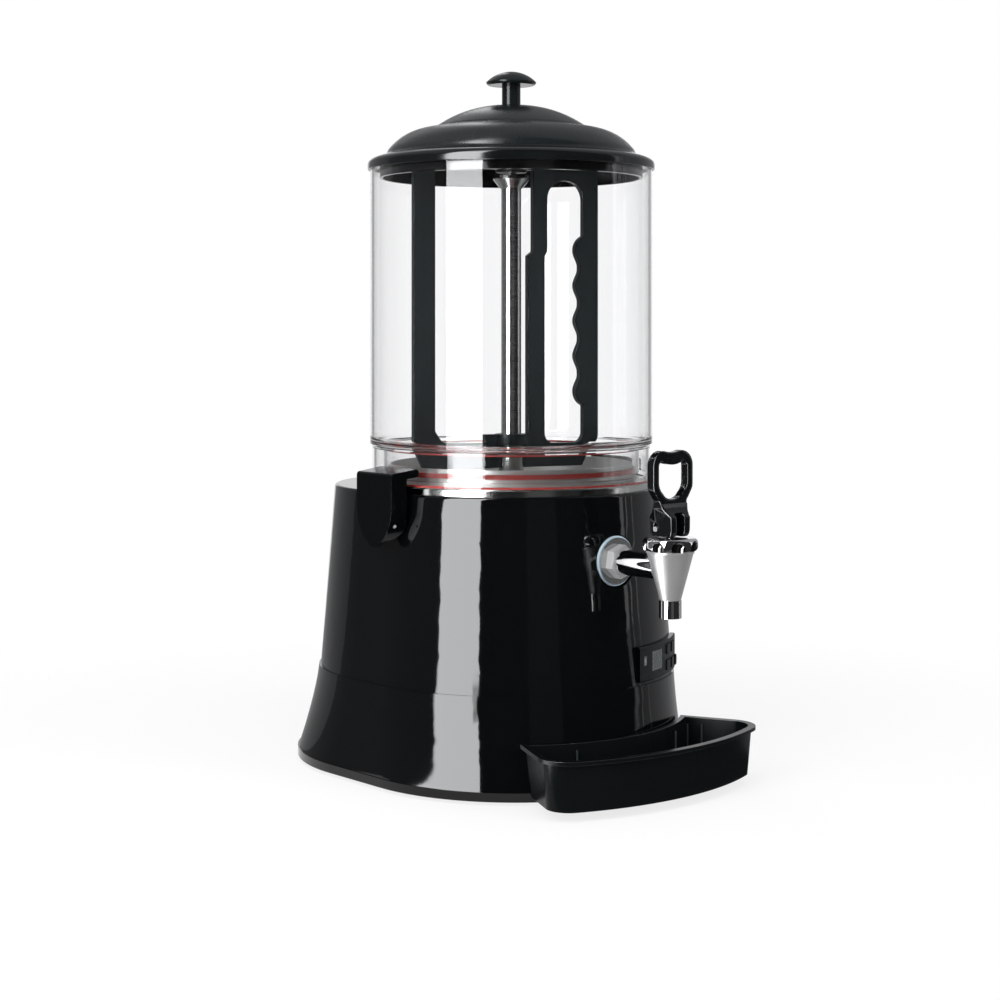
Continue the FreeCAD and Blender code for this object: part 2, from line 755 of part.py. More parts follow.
def turned(name, corners, **where):
    """A body of revolution about Z from one outline of (radius, height)."""
    body = new_body(name, **where)
    sketch = new_sketch(body, "XZ_Plane")
    outline(sketch, corners)
    turn_about(body, sketch)
    return body


def ring_corners(inner, outer, bottom, top):
    return [(inner, bottom), (outer, bottom), (outer, top), (inner, top)]


def edges_at(feature, test):
    """The names of the feature's edges that a test of the edge picks."""
    return [f"Edge{i}" for i, edge in enumerate(feature.Shape.Edges, start=1) if test(edge)]


def fillet(body, radius, test):
    """Rounds the edges of the body's last feature that the test picks."""
    doc.recompute()
    base = body.Tip
    feature = body.newObject("PartDesign::Fillet", f"{body.Name}_fillet")
    feature.Base = (base, edges_at(base, test))
    feature.setExpression(".Radius", linked(radius))
    return feature


def pattern_around(body, feature, count):
    """Repeats a feature round the body's Z axis."""
    pattern = body.newObject("PartDesign::PolarPattern", f"{body.Name}_pattern")
    pattern.Originals = [feature]
    pattern.Axis = (origin_plane(body, "Z_Axis"), [""])
    pattern.Angle = 360
    pattern.setExpression(".Occurrences", linked(count))
    body.Tip = pattern
    return pattern


def group(name, shape):
    """A node whose shape is set from the sheet's values."""
    node = doc.addObject("Part::Feature", name)
    node.Label = name
    node.Shape = shape
    return node


def cylinder_at(radius, length, x, y, z, direction=Vector(0, 0, 1)):
    return Part.makeCylinder(radius, length, Vector(x, y, z), direction)


# ---------------------------------------------------------------- base and housing

FLARE_STATIONS = (0, 0.25, 0.5, 0.75, 1)


def flare_section(body, station, wall="0"):
    """One level of the skirt's flare: station 0 is above the lip, 1 is the seam."""
    share = f"(1 - {station}) ^ flare_power"
    sketch = new_sketch(body, offset=f"lip_top + (seam_level - lip_top) * {station}")
    obround(
        sketch,
        f"seam_radius + (bottom_radius - lip_inset - seam_radius) * {share} - ({wall})",
        f"seam_front_shift + (bottom_front_shift - seam_front_shift) * {share}",
        f"seam_rear_shift + (bottom_rear_shift - seam_rear_shift) * {share}")
    return sketch


def obround_pad(body, level, height, radius, front_shift, rear_shift, hole=None):
    """A flat slab of obround plan, with an obround or no opening in it."""
    sketch = new_sketch(body, offset=level)
    obround(sketch, radius, front_shift, rear_shift)
    if hole:
        obround(sketch, hole, front_shift, rear_shift)
    return pad(body, sketch, height)


def make_skirt():
    body = new_body("base_skirt")
    loft(body, [flare_section(body, station) for station in FLARE_STATIONS])
    bottom = ("bottom_front_shift", "bottom_rear_shift")
    obround_pad(body, "lip_bottom", "lip_top - lip_bottom", "bottom_radius", *bottom)
    loft(body, [flare_section(body, station, "plastic_wall") for station in FLARE_STATIONS], "SubtractiveLoft")
    lip = new_sketch(body, offset="lip_bottom")
    obround(lip, "bottom_radius - plastic_wall", *bottom)
    pocket(body, lip, "plate_top - lip_bottom", reverse=True)
    ledge = "bottom_radius - lip_inset - plastic_wall + overlap"
    obround_pad(body, "plate_top", "ledge_thickness", ledge, *bottom, hole=f"{ledge} - ledge_width")
    seam = ("seam_front_shift", "seam_rear_shift")
    spigot = "skirt_top_inner - run_gap - spigot_height * housing_slope"
    obround_pad(body, "seam_level - plastic_wall", "plastic_wall", "seam_radius - plastic_wall + overlap", *seam,
                hole=f"{spigot} - spigot_wall")
    obround_pad(body, "seam_level", "spigot_height", spigot, *seam, hole=f"{spigot} - spigot_wall")
    slots = new_sketch(body, "XZ_Plane", offset="bottom_radius / 2")
    for side in ("-1", "1"):
        middle = f"{side} * tray_tab_place"
        half = "(tray_tab_width / 2 + run_gap)"
        low, high = "tray_tab_level - run_gap", "tray_tab_level + tray_tab_height + run_gap"
        outline(slots, [(f"{middle} - {half}", low), (f"{middle} + {half}", low),
                        (f"{middle} + {half}", high), (f"{middle} - {half}", high)])
    pocket(body, slots, "bottom_radius", reverse=True)
    return body


def make_housing():
    body = new_body("housing")
    outer, inner = [], []
    for level, radius, front_shift, rear_shift in (
            ("seam_level", "housing_seam_radius", "seam_front_shift", "seam_rear_shift"),
            ("housing_top", "top_radius", "0", "top_rear_shift")):
        section = new_sketch(body, offset=level)
        obround(section, radius, front_shift, rear_shift)
        outer.append(section)
    loft(body, outer)
    boss = new_sketch(body, "XZ_Plane", offset="spot_face - boss_depth")
    circle(boss, "spot_radius + 2", "0", "tap_level")
    for level, radius, front_shift, rear_shift in (
            ("seam_level", "housing_seam_radius - plastic_wall", "seam_front_shift", "seam_rear_shift"),
            ("housing_top - plastic_wall", "top_radius - plastic_wall", "0", "top_rear_shift")):
        section = new_sketch(body, offset=level)
        obround(section, radius, front_shift, rear_shift)
        inner.append(section)
    loft(body, inner, "SubtractiveLoft")
    fillet(body, "top_round", lambda edge: edge.BoundBox.ZMin > value("housing_top") - 0.1)
    pad(body, boss, "boss_depth")
    opening = new_sketch(body, offset="housing_top")
    circle(opening, "tank_radius + run_gap")
    pocket(body, opening, "plastic_wall * 2")
    spot = new_sketch(body, "XZ_Plane", offset="spot_face")
    circle(spot, "spot_radius", "0", "tap_level")
    pocket(body, spot, "spot_radius", reverse=True)
    hole = new_sketch(body, "XZ_Plane", offset="spot_face - boss_depth * 2")
    circle(hole, "tap_shank_radius + run_gap", "0", "tap_level")
    pocket(body, hole, "spot_radius", reverse=True)
    window = new_sketch(body, "YZ_Plane", swing="panel_middle - 90")
    rectangle(window, "panel_window_half * 2", "panel_window_height", "0", "panel_window_level")
    pocket(body, window, "bottom_radius * 2", reverse=True)
    inlet_face = new_sketch(body, "XZ_Plane", offset="-gland_face")
    circle(inlet_face, "gland_flange + run_gap", "0", "gland_level")
    pocket(body, inlet_face, "gland_flange")
    inlet = new_sketch(body, "XZ_Plane", offset="-(gland_face - plastic_wall * 2)")
    circle(inlet, "gland_radius + pin_gap", "0", "gland_level")
    pocket(body, inlet, "plastic_wall * 4")
    slot = new_sketch(body, "XZ_Plane", offset="-(top_rear_shift + top_radius / 2)")
    stadium(slot, "vent_width / 2", ("-vent_length / 2", "vent_level"), ("vent_length / 2", "vent_level"))
    vent = pocket(body, slot, "top_radius")
    row = body.newObject("PartDesign::LinearPattern", "housing_vents")
    row.Originals = [vent]
    row.Direction = (origin_plane(body, "Z_Axis"), [""])
    row.setExpression(".Length", linked("vent_pitch * (vent_count - 1)"))
    row.setExpression(".Occurrences", linked("vent_count"))
    body.Tip = row
    return body


def foot_places():
    """Signs and cells for the four feet: (x, y) as formulas."""
    return [(f"{side} * foot_spread", y) for side in (-1, 1) for y in ("-foot_front", "foot_rear")]


def make_base_plate():
    body = new_body("base_plate")
    obround_pad(body, "foot_height", "base_plate_thickness", "bottom_radius - plastic_wall - run_gap",
                "bottom_front_shift", "bottom_rear_shift")
    holes = new_sketch(body, offset="plate_top")
    for x, y in foot_places():
        circle(holes, "base_screw_radius + run_gap", x, y)
    pocket(body, holes, "base_plate_thickness * 2")
    slots = new_sketch(body, offset="plate_top")
    for row in range(5):
        y = f"vent_pitch * {2 * row} - vent_pitch * 9"
        stadium(slots, "vent_width / 2", ("-vent_length / 2", y), ("vent_length / 2", y))
    pocket(body, slots, "base_plate_thickness * 2")
    return body


def make_feet():
    """Four rubber feet, each with a hole for its screw."""
    feet, screws = [], []
    top = value("foot_height")
    head, head_height = value("base_screw_head"), value("base_screw_head_height")
    for x_formula, y_formula in foot_places():
        x, y = value(x_formula), value(y_formula)
        foot = Part.makeCone(value("foot_radius - foot_taper"), value("foot_radius"), top, Vector(x, y, 0))
        seat = cylinder_at(head + value("run_gap"), top / 2, x, y, 0)
        bore = cylinder_at(value("base_screw_radius") + value("run_gap"), top, x, y, 0)
        feet.append(foot.cut(seat.fuse(bore)))
        shank = cylinder_at(value("base_screw_radius"), value("base_screw_length"), x, y, top / 2)
        screws.append(shank.fuse(cylinder_at(head, head_height, x, y, top / 2 - head_height)))
    group("rubber_feet", Part.makeCompound(feet))
    group("foot_screws", Part.makeCompound(screws))


# ---------------------------------------------------------------- tank, pot and tube

def radial_hole(body, radius, start, length):
    """A round hole along -Y at the tap's level, from y = -start outwards."""
    sketch = new_sketch(body, "XZ_Plane", offset=start)
    circle(sketch, radius, "0", "tap_level")
    return pocket(body, sketch, length, reverse=True)


def make_water_tank():
    hole = "tube_radius + pin_gap"
    skin = "sheet_thickness"
    body = turned("water_tank", [
        (hole, "tank_bottom"), ("tank_radius", "tank_bottom"), ("tank_radius", f"tank_top - {skin}"),
        (f"rim_radius - {skin}", f"tank_top - {skin}"), (f"rim_radius - {skin}", "housing_top"),
        ("rim_radius", "housing_top"), ("rim_radius", "tank_top - rim_round", "rim_round", -1),
        ("rim_radius - rim_round", "tank_top"), (f"tank_radius - {skin}", "tank_top"),
        (f"tank_radius - {skin}", f"tank_bottom + {skin}"), (hole, f"tank_bottom + {skin}")])
    radial_hole(body, "outlet_radius + pin_gap", "tank_radius - 6", "12")
    holes = new_sketch(body, offset="tank_bottom + sheet_thickness")
    for side in (-1, 1):
        circle(holes, "heater_tail_radius + pin_gap", f"{side} * heater_tail_place", "heater_tail_y")
    circle(holes, "probe_radius + pin_gap", "probe_place", "0")
    pocket(body, holes, "sheet_thickness * 2")
    return body


def make_pot():
    hole = "tube_radius + pin_gap"
    skin = "sheet_thickness"
    below = f"pot_bottom - {skin}"
    body = turned("product_pot", [
        (hole, f"{below} + pot_slope"), ("pot_radius - pot_corner", below, "pot_corner", -1),
        ("pot_radius", f"{below} + pot_corner"), ("pot_radius", "tank_top"),
        ("pot_flange_radius", "tank_top"), ("pot_flange_radius", "pot_flange_top"),
        ("pot_radius", "pot_flange_top"), ("pot_radius", "pot_neck_top"),
        (f"pot_radius - {skin}", "pot_neck_top"),
        (f"pot_radius - {skin}", f"{below} + pot_corner", f"pot_corner - {skin}", 1),
        ("pot_radius - pot_corner", "pot_bottom"), (hole, "pot_bottom + pot_slope")])
    spout = new_sketch(body, "XZ_Plane", offset="pot_radius - sheet_thickness / 2")
    circle(spout, "outlet_radius", "0", "tap_level")
    pad(body, spout, "outlet_reach - pot_radius + sheet_thickness / 2")
    radial_hole(body, "outlet_bore", "pot_radius - 6", "outlet_reach")
    return body


def make_heater():
    """A ring heater in the water with two tails through the tank's bottom."""
    wire, level = value("heater_wire"), value("heater_level")
    ring = Part.makeTorus(value("heater_radius"), wire, Vector(0, 0, level))
    for side in (-1, 1):
        tail = cylinder_at(value("heater_tail_radius"), value("heater_tail"), side * value("heater_tail_place"),
                           value("heater_tail_y"), level - value("heater_tail"))
        ring = ring.fuse(tail)
    group("heating_element", ring.removeSplitter())


def make_probe():
    turned("thermostat_probe", [
        ("0", "-gland_flange"), ("probe_radius * 2", "-gland_flange"), ("probe_radius * 2", "0"),
        ("probe_radius", "0"), ("probe_radius", "probe_length"), ("0", "probe_length")],
        x="probe_place", z="tank_bottom")


def make_tube():
    turned("centre_tube", ring_corners("tube_bore", "tube_radius", "tank_bottom - tube_below_tank", "tube_top"))
    turned("tube_collar", [
        ("tube_radius + pin_gap", "collar_bottom"), ("tube_radius + 1", "collar_bottom"),
        ("collar_radius", "collar_flare_top"), ("collar_radius", "tube_top"),
        ("tube_radius + pin_gap", "tube_top")])
    turned("tube_sleeve", ring_corners(
        "tube_radius + pin_gap", "sleeve_radius", "pot_bottom + pot_slope", "sleeve_top"))
    nut = new_body("tube_nut", z="tank_bottom - tube_nut_height")
    sketch = new_sketch(nut)
    hexagon(sketch, "tube_nut_flats")
    circle(sketch, "tube_radius + pin_gap")
    pad(nut, sketch, "tube_nut_height")
    bushes = []
    for bottom in (value("tank_bottom - tube_below_tank"), value("tube_top - bush_length")):
        sleeve = cylinder_at(value("tube_bore - pin_gap / 2"), value("bush_length"), 0, 0, bottom)
        bushes.append(sleeve.cut(cylinder_at(value("shaft_radius + pin_gap"), value("bush_length"), 0, 0, bottom)))
    group("shaft_bushes", Part.makeCompound(bushes))


# ---------------------------------------------------------------- bowl, seals and lid

def make_bowl():
    turned("bowl", [
        ("floor_inner_radius", "floor_bottom"), ("collar_inner_radius", "floor_bottom"),
        ("collar_inner_radius", "floor_bottom - collar_drop"),
        ("collar_inner_radius + collar_wall", "floor_bottom - collar_drop"),
        ("collar_inner_radius + collar_wall", "floor_bottom"),
        ("bowl_skirt_radius - bowl_skirt_wall", "floor_bottom"),
        ("bowl_skirt_radius - bowl_skirt_wall", "flange_bottom"),
        ("bowl_skirt_radius - flange_seal_inset", "flange_bottom"),
        ("bowl_skirt_radius - flange_seal_inset", "flange_bottom + flange_seal_height"),
        ("bowl_skirt_radius + flange_seal_outset", "flange_bottom + flange_seal_height"),
        ("bowl_skirt_radius + flange_seal_outset", "flange_bottom"),
        ("flange_radius", "flange_bottom"), ("flange_radius", "flange_top"),
        ("bowl_skirt_radius", "flange_top"), ("bowl_skirt_radius", "bowl_floor - 1"),
        ("bowl_radius", "bowl_floor + 1"), ("bowl_radius", "bowl_top"),
        ("bowl_radius - bowl_wall", "bowl_top"),
        ("bowl_radius - bowl_wall", "bowl_floor + bowl_corner", "bowl_corner", 1),
        ("bowl_radius - bowl_wall - bowl_corner", "bowl_floor"), ("floor_inner_radius", "bowl_floor")])


def make_seals():
    turned("bowl_gasket", ring_corners("pot_radius + pin_gap", "collar_inner_radius - pin_gap",
                                       "gasket_bottom", "gasket_bottom + gasket_height"))
    turned("bowl_lip_seal", ring_corners("floor_inner_radius", "collar_inner_radius - pin_gap",
                                         "pot_neck_top", "pot_neck_top + lip_seal_thickness"))
    turned("flange_seal", ring_corners(
        "bowl_skirt_radius - flange_seal_inset + pin_gap", "bowl_skirt_radius + flange_seal_outset - pin_gap",
        "flange_bottom", "flange_bottom + flange_seal_height - pin_gap"))


def make_lid():
    skirt_inner = "lid_skirt_radius - lid_skirt_wall"
    hole = "knob_stud_radius + run_gap"
    step_top = "lid_step_level + lid_step_height"
    turned("lid", [
        (skirt_inner, "lid_skirt_bottom"), ("lid_skirt_radius", "lid_skirt_bottom"),
        ("lid_skirt_radius", "bowl_top"), ("bowl_radius + run_gap", "bowl_top"),
        ("bowl_radius + run_gap", "bowl_top - lid_lip"), ("lid_radius", "bowl_top - lid_lip"),
        ("lid_radius", "bowl_top + lid_rim_height"),
        ("lid_shoulder_radius", "lid_shoulder_level", "lid_lower_arc", -1),
        ("lid_step_radius", "lid_step_level"), (f"lid_step_radius - 1", step_top, "lid_upper_arc", -1),
        ("knob_stem_radius", "lid_crown_level"), (hole, "lid_crown_level"),
        (hole, "lid_crown_level - lid_wall", "lid_upper_arc - lid_wall", 1),
        ("lid_step_radius - lid_wall", f"{step_top} - lid_wall"),
        ("lid_step_radius - 1", "lid_step_level - lid_wall", "lid_lower_arc - lid_wall", 1),
        (skirt_inner, "lid_shoulder_level + 0.5")])
    knob_seat = "lid_crown_level"
    cap = "lid_crown_level + knob_stem_length"
    rise = "(knob_cap_height - knob_edge)"
    turned("lid_knob", [
        ("0", f"{knob_seat} - knob_stud_length"), ("knob_stud_radius", f"{knob_seat} - knob_stud_length"),
        ("knob_stud_radius", knob_seat), ("knob_stem_radius", knob_seat), ("knob_stem_radius", cap),
        ("knob_radius - knob_edge", cap, "knob_edge", -1),
        ("knob_radius", f"{cap} + knob_edge", f"(knob_radius ^ 2 + {rise} ^ 2) / (2 * {rise})", -1),
        ("0", "overall_height")])
    nut = new_body("knob_nut", z="lid_crown_level - lid_wall - knob_nut_height - run_gap")
    sketch = new_sketch(nut)
    hexagon(sketch, "knob_nut_flats")
    circle(sketch, "knob_stud_radius + pin_gap")
    pad(nut, sketch, "knob_nut_height")


# ---------------------------------------------------------------- drive

def make_gear(name, teeth, radius, thickness, bore, **where):
    """A spur gear with straight-flanked teeth; its first tooth points along +X before the turn."""
    body = new_body(name, **where)
    root = f"({radius} - 1.25 * gear_module)"
    tip = f"({radius} + 0.9 * gear_module)"
    blank = new_sketch(body)
    circle(blank, root)
    circle(blank, bore)
    pad(body, blank, thickness)
    half = "(pi * gear_module / 2 - gear_backlash) / 2"
    tooth = new_sketch(body)
    base = f"({root} - 0.3)"
    low, high = f"{half} + ({radius} - {base}) * flank_slope", f"{half} - ({tip} - {radius}) * flank_slope"
    outline(tooth, [(base, f"-({low})"), (tip, f"-({high})"), (tip, high), (base, low)])
    pattern_around(body, pad(body, tooth, thickness), teeth)
    return body


def make_drive():
    shaft = new_body("drive_shaft", z="gearbox_bottom + run_gap")
    sketch = new_sketch(shaft)
    circle(sketch, "shaft_radius")
    pad(shaft, sketch, "shaft_top - gearbox_bottom - run_gap")
    make_gear("drive_gear", "gear_teeth", "gear_radius", "gear_thickness", "shaft_radius + pin_gap",
              z="gear_level", turn="90 + 180 / gear_teeth")
    make_gear("motor_pinion", "pinion_teeth", "pinion_radius", "pinion_thickness",
              "motor_shaft_radius + pin_gap", y="gear_centres",
              z="gear_level + (gear_thickness - pinion_thickness) / 2", turn="-90")
    rotor = new_body("motor_shaft", y="gear_centres", z="motor_bottom + motor_bearing")
    sketch = new_sketch(rotor)
    circle(sketch, "motor_shaft_radius")
    pad(rotor, sketch, "gear_level + gear_thickness + 1.5 - motor_bottom - motor_bearing")


def make_gearbox():
    case = new_body("gearbox_case", z="gearbox_bottom")
    obround_pad(case, "0", "gearbox_height", "gearbox_radius", "0", "gearbox_shift")
    inside = new_sketch(case, offset="gearbox_wall")
    obround(inside, "gearbox_radius - gearbox_wall", "0", "gearbox_shift")
    pocket(case, inside, "gearbox_height", reverse=True)
    boss = new_sketch(case)
    circle(boss, "gear_hub_radius")
    pad(case, boss, "gearbox_wall * 2")
    holes = new_sketch(case)
    circle(holes, "shaft_radius + pin_gap")
    circle(holes, "motor_shaft_radius + run_gap", "0", "gear_centres")
    pocket(case, holes, "gearbox_height", reverse=True)
    cover = new_body("gearbox_cover", z="gearbox_top")
    obround_pad(cover, "0", "gearbox_cover_thickness", "gearbox_radius", "0", "gearbox_shift")
    boss = new_sketch(cover)
    circle(boss, "gear_hub_radius")
    pad(cover, boss, "gearbox_cover_thickness * 2")
    bore = new_sketch(cover)
    circle(bore, "shaft_radius + pin_gap")
    pocket(cover, bore, "gearbox_height", reverse=True)


def make_motor():
    can_top = "gearbox_bottom - bracket_thickness"
    bore = "motor_shaft_radius + run_gap"
    turned("motor_can", [
        ("0", "motor_bottom"), ("motor_radius - 3", "motor_bottom", "3", -1),
        ("motor_radius", "motor_bottom + 3"), ("motor_radius", f"{can_top} - 3", "3", -1),
        ("motor_radius - 3", can_top), (bore, can_top), (bore, "motor_bottom + motor_bearing - run_gap"),
        ("0", "motor_bottom + motor_bearing - run_gap")], y="gear_centres")
    bracket = new_body("motor_bracket")
    section = new_sketch(bracket, "XZ_Plane", offset="-bracket_rear")
    leg, skin = "bracket_half_width", "bracket_thickness"
    toe = "bracket_half_width + bracket_foot"
    outline(section, [
        (f"-({toe})", "plate_top"), (f"-({leg}) + {skin}", "plate_top"),
        (f"-({leg}) + {skin}", f"gearbox_bottom - {skin}"), (f"{leg} - {skin}", f"gearbox_bottom - {skin}"),
        (f"{leg} - {skin}", "plate_top"), (toe, "plate_top"), (toe, f"plate_top + {skin}"),
        (leg, f"plate_top + {skin}"), (leg, "gearbox_bottom"), (f"-({leg})", "gearbox_bottom"),
        (f"-({leg})", f"plate_top + {skin}"), (f"-({toe})", f"plate_top + {skin}")])
    pad(bracket, section, "bracket_front + bracket_rear")
    holes = new_sketch(bracket, offset="gearbox_bottom")
    circle(holes, "shaft_radius * 2")
    circle(holes, "motor_shaft_radius * 2", "0", "gear_centres")
    pocket(bracket, holes, f"{skin} * 2")


# ---------------------------------------------------------------- paddle

def make_paddle():
    """The stirring paddle: one flat plate in the turned X-Z plane, with a hub below and a head above."""
    body = new_body("paddle", turn="paddle_turn")
    plate = new_sketch(body, "XZ_Plane")
    left, right = "-paddle_left_reach", "paddle_right_reach"
    floor_left, floor_right = "-paddle_floor_left", "(paddle_right_reach - paddle_corner)"
    knee = "paddle_floor + paddle_floor_rise"
    shelf = "paddle_window_bottom - paddle_shelf_drop"
    outline(plate, [
        (f"{floor_left} + paddle_floor_inset", "paddle_floor"),
        (f"{floor_right} - paddle_floor_inset", "paddle_floor"),
        (floor_right, knee), (floor_right, shelf, "paddle_corner", -1),
        (right, f"{shelf} + paddle_corner"), (right, "paddle_top"), (left, "paddle_top"),
        (left, f"{shelf} + paddle_corner", "paddle_corner", -1),
        (floor_left, shelf), (floor_left, knee)])
    near, far, jog = "paddle_inner_bar_near", "paddle_inner_bar_far", "paddle_step_level"
    bar_top = "paddle_top - paddle_top_bar"
    bar_left = "(paddle_left_bar - paddle_left_reach)"
    outline(plate, [
        (near, "paddle_hub_top"), (near, jog), (f"{near} + paddle_inner_step", f"{jog} + paddle_jog_rise"),
        (f"{near} + paddle_inner_step", bar_top), (bar_left, bar_top),
        (bar_left, "paddle_window_bottom + paddle_gusset"),
        (f"{bar_left} + paddle_gusset * 0.7", "paddle_window_bottom"),
        ("-paddle_block_reach", "paddle_window_bottom"), ("-paddle_block_reach", "paddle_hub_top")])
    edge = "paddle_window_edge"
    waves = []
    for index in range(int(value("paddle_wave_count"))):
        crest = f"paddle_wave_first + paddle_wave_pitch * {index}"
        waves.append((edge, f"{crest} - paddle_wave_half", "wave_radius", 1))
        waves.append((edge, f"{crest} + paddle_wave_half"))
    far_top = f"({far} + paddle_inner_step / 2)"
    arch = "paddle_arch_radius"
    outline(plate, [
        (f"{far} + paddle_corner", "paddle_window_bottom"),
        (f"{edge} - paddle_corner", "paddle_window_bottom", "paddle_corner", -1),
        (edge, "paddle_window_bottom + paddle_corner")] + waves + [
        (edge, f"paddle_window_top - {arch}", arch, -1), (f"{edge} - {arch}", "paddle_window_top"),
        (f"{far_top} + {arch}", "paddle_window_top", arch, -1), (far_top, f"paddle_window_top - {arch}"),
        (far_top, f"{jog} + paddle_jog_rise"), (far, jog), (far, "paddle_window_bottom + paddle_corner", "paddle_corner", -1)])
    pad(body, plate, "paddle_thickness", both=True)
    for bottom, top, radius in (("paddle_hub_bottom", "paddle_hub_top", "paddle_hub_radius"),
                                ("paddle_head_bottom", "paddle_head_top", "paddle_head_radius")):
        boss = new_sketch(body, offset=bottom)
        circle(boss, radius)
        pad(body, boss, f"{top} - ({bottom})")
    for bottom, top, radius in (("paddle_floor - 1", "sleeve_top + run_gap", "sleeve_radius + run_gap"),
                                ("paddle_floor - 1", "paddle_hub_top + 1", "tube_radius + run_gap"),
                                ("paddle_head_bottom - 1", "shaft_top", "shaft_radius + pin_gap")):
        bore = new_sketch(body, offset=bottom)
        circle(bore, radius)
        pocket(body, bore, f"{top} - ({bottom})", reverse=True)


# ---------------------------------------------------------------- side latches

def tongue(sketch, inset, top, past="0"):
    """The latch's outline from the front: straight sides above, long curves down to a round tip.
    With past, it is the part below the straight sides, out to that far beyond them."""
    half, side_arc = f"(latch_width / 2 - {inset})", f"(latch_side_arc - {inset})"
    bend = "latch_bottom + latch_tongue_height"
    tip_x = f"(latch_width / 2 - latch_side_arc + {side_arc} * latch_lean_across)"
    tip_z = f"{bend} - {side_arc} * latch_lean_down"
    curve = [(half, bend, side_arc, 1), (tip_x, tip_z, f"latch_tip_radius - {inset}", 1),
             (f"-{tip_x}", tip_z, side_arc, 1), (f"-{half}", bend)]
    if past == "0":
        outline(sketch, curve + [(f"-{half}", top), (half, top)])
    else:
        wide = f"({half} + {past})"
        outline(sketch, [(wide, bend)] + curve + [
            (f"-{wide}", bend), (f"-{wide}", f"latch_bottom - {past}"), (wide, f"latch_bottom - {past}")])


def make_latch(name, turn):
    """One over-bowl latch; its outer plate faces local +X and its pin runs along Y."""
    body = new_body(name, turn=turn)
    side = new_sketch(body, "XZ_Plane")
    bead, heel = "latch_bead_radius", "latch_heel"
    heel_end = f"latch_pin_level - sqrt({heel} ^ 2 - (latch_plate_inner - latch_pin_place) ^ 2)"
    outline(side, [
        ("latch_plate_inner", "latch_bottom"), ("latch_face", "latch_bottom"),
        ("latch_face", f"latch_top - {bead}", bead, -1), (f"latch_face - {bead}", "latch_top"),
        (f"latch_hook_reach + {bead}", "latch_hook_top", bead, -1),
        ("latch_hook_reach", f"latch_hook_top - {bead}"), ("latch_hook_reach", f"latch_hook_bottom + 1.4"),
        ("latch_face - latch_cheek", "latch_hook_bottom"), ("latch_face - latch_cheek", "latch_pin_level + 6"),
        (f"latch_pin_place - {heel}", "latch_pin_level", heel, -1), ("latch_plate_inner", heel_end)])
    pad(body, side, "latch_width", both=True)
    inside = new_sketch(body, "YZ_Plane", offset="latch_plate_inner")
    tongue(inside, "latch_wall", "latch_hook_bottom")
    pocket(body, inside, "latch_plate_inner - latch_hook_reach - 2")
    ends = new_sketch(body, "YZ_Plane")
    tongue(ends, "0", "0", "3")
    pocket(body, ends, "latch_face * 2", reverse=True)
    toe = new_sketch(body, "XZ_Plane")
    outline(toe, [
        ("latch_hook_reach", "flange_top + latch_toe_gap"), ("flange_radius", "flange_top + latch_toe_gap"),
        ("flange_radius", "latch_hook_bottom + 2"), ("latch_hook_reach", "latch_hook_bottom + 2")])
    pad(body, toe, "latch_width / 3", both=True)
    hole = new_sketch(body, "XZ_Plane")
    circle(hole, "latch_pin_radius + pin_gap", "latch_pin_place", "latch_pin_level")
    pocket(body, hole, "latch_width * 2", both=True)


def make_latch_mounts():
    """The two hinge blocks on the housing's straight flanks, and the two pins."""
    level, place_x = value("latch_pin_level"), value("latch_pin_place")
    boss, depth = value("latch_boss_radius"), value("bracket_block_width")
    foot = value("bracket_block_height") / 2
    slope = value("housing_slope")
    low, high = level - foot, level + foot
    at_low = value("housing_seam_radius") - (low - value("seam_level")) * slope
    at_high = at_low - (high - low) * slope
    profile = Part.makePolygon([
        Vector(at_low, -depth / 2, low), Vector(place_x, -depth / 2, level - boss),
        Vector(place_x, -depth / 2, level + boss), Vector(at_high, -depth / 2, high),
        Vector(at_low, -depth / 2, low)])
    block = Part.Face(profile).extrude(Vector(0, depth, 0))
    along = Vector(0, 1, 0)
    block = block.fuse(cylinder_at(boss, depth, place_x, -depth / 2, level, along)).removeSplitter()
    block = block.cut(cylinder_at(value("latch_pin_radius + pin_gap"), depth, place_x, -depth / 2, level, along))
    length = value("latch_pin_reach * 2")
    pin = cylinder_at(value("latch_pin_radius"), length, place_x, -length / 2, level, along)
    for name, shape in (("latch_brackets", block), ("latch_pins", pin)):
        other = shape.rotated(Vector(0, 0, 0), Vector(0, 0, 1), 180)
        group(name, Part.makeCompound([shape, other]))


# ---------------------------------------------------------------- tap

def ring_about_y(name, inner, outer, start, length):
    """A ring on the tap's shank; start is its distance in front of the machine's axis."""
    near, far = f"-({start})", f"-({start} + {length})"
    body = new_body(name, z="tap_level")
    sketch = new_sketch(body)
    outline(sketch, [(inner, far), (outer, far), (outer, near), (inner, near)])
    turn_about(body, sketch)


def nut_about_y(name, flats, hole, start, length, turn=None):
    body = new_body(name, z="tap_level")
    sketch = new_sketch(body, "XZ_Plane", offset=start)
    hexagon(sketch, flats, turn)
    circle(sketch, hole)
    pad(body, sketch, length)


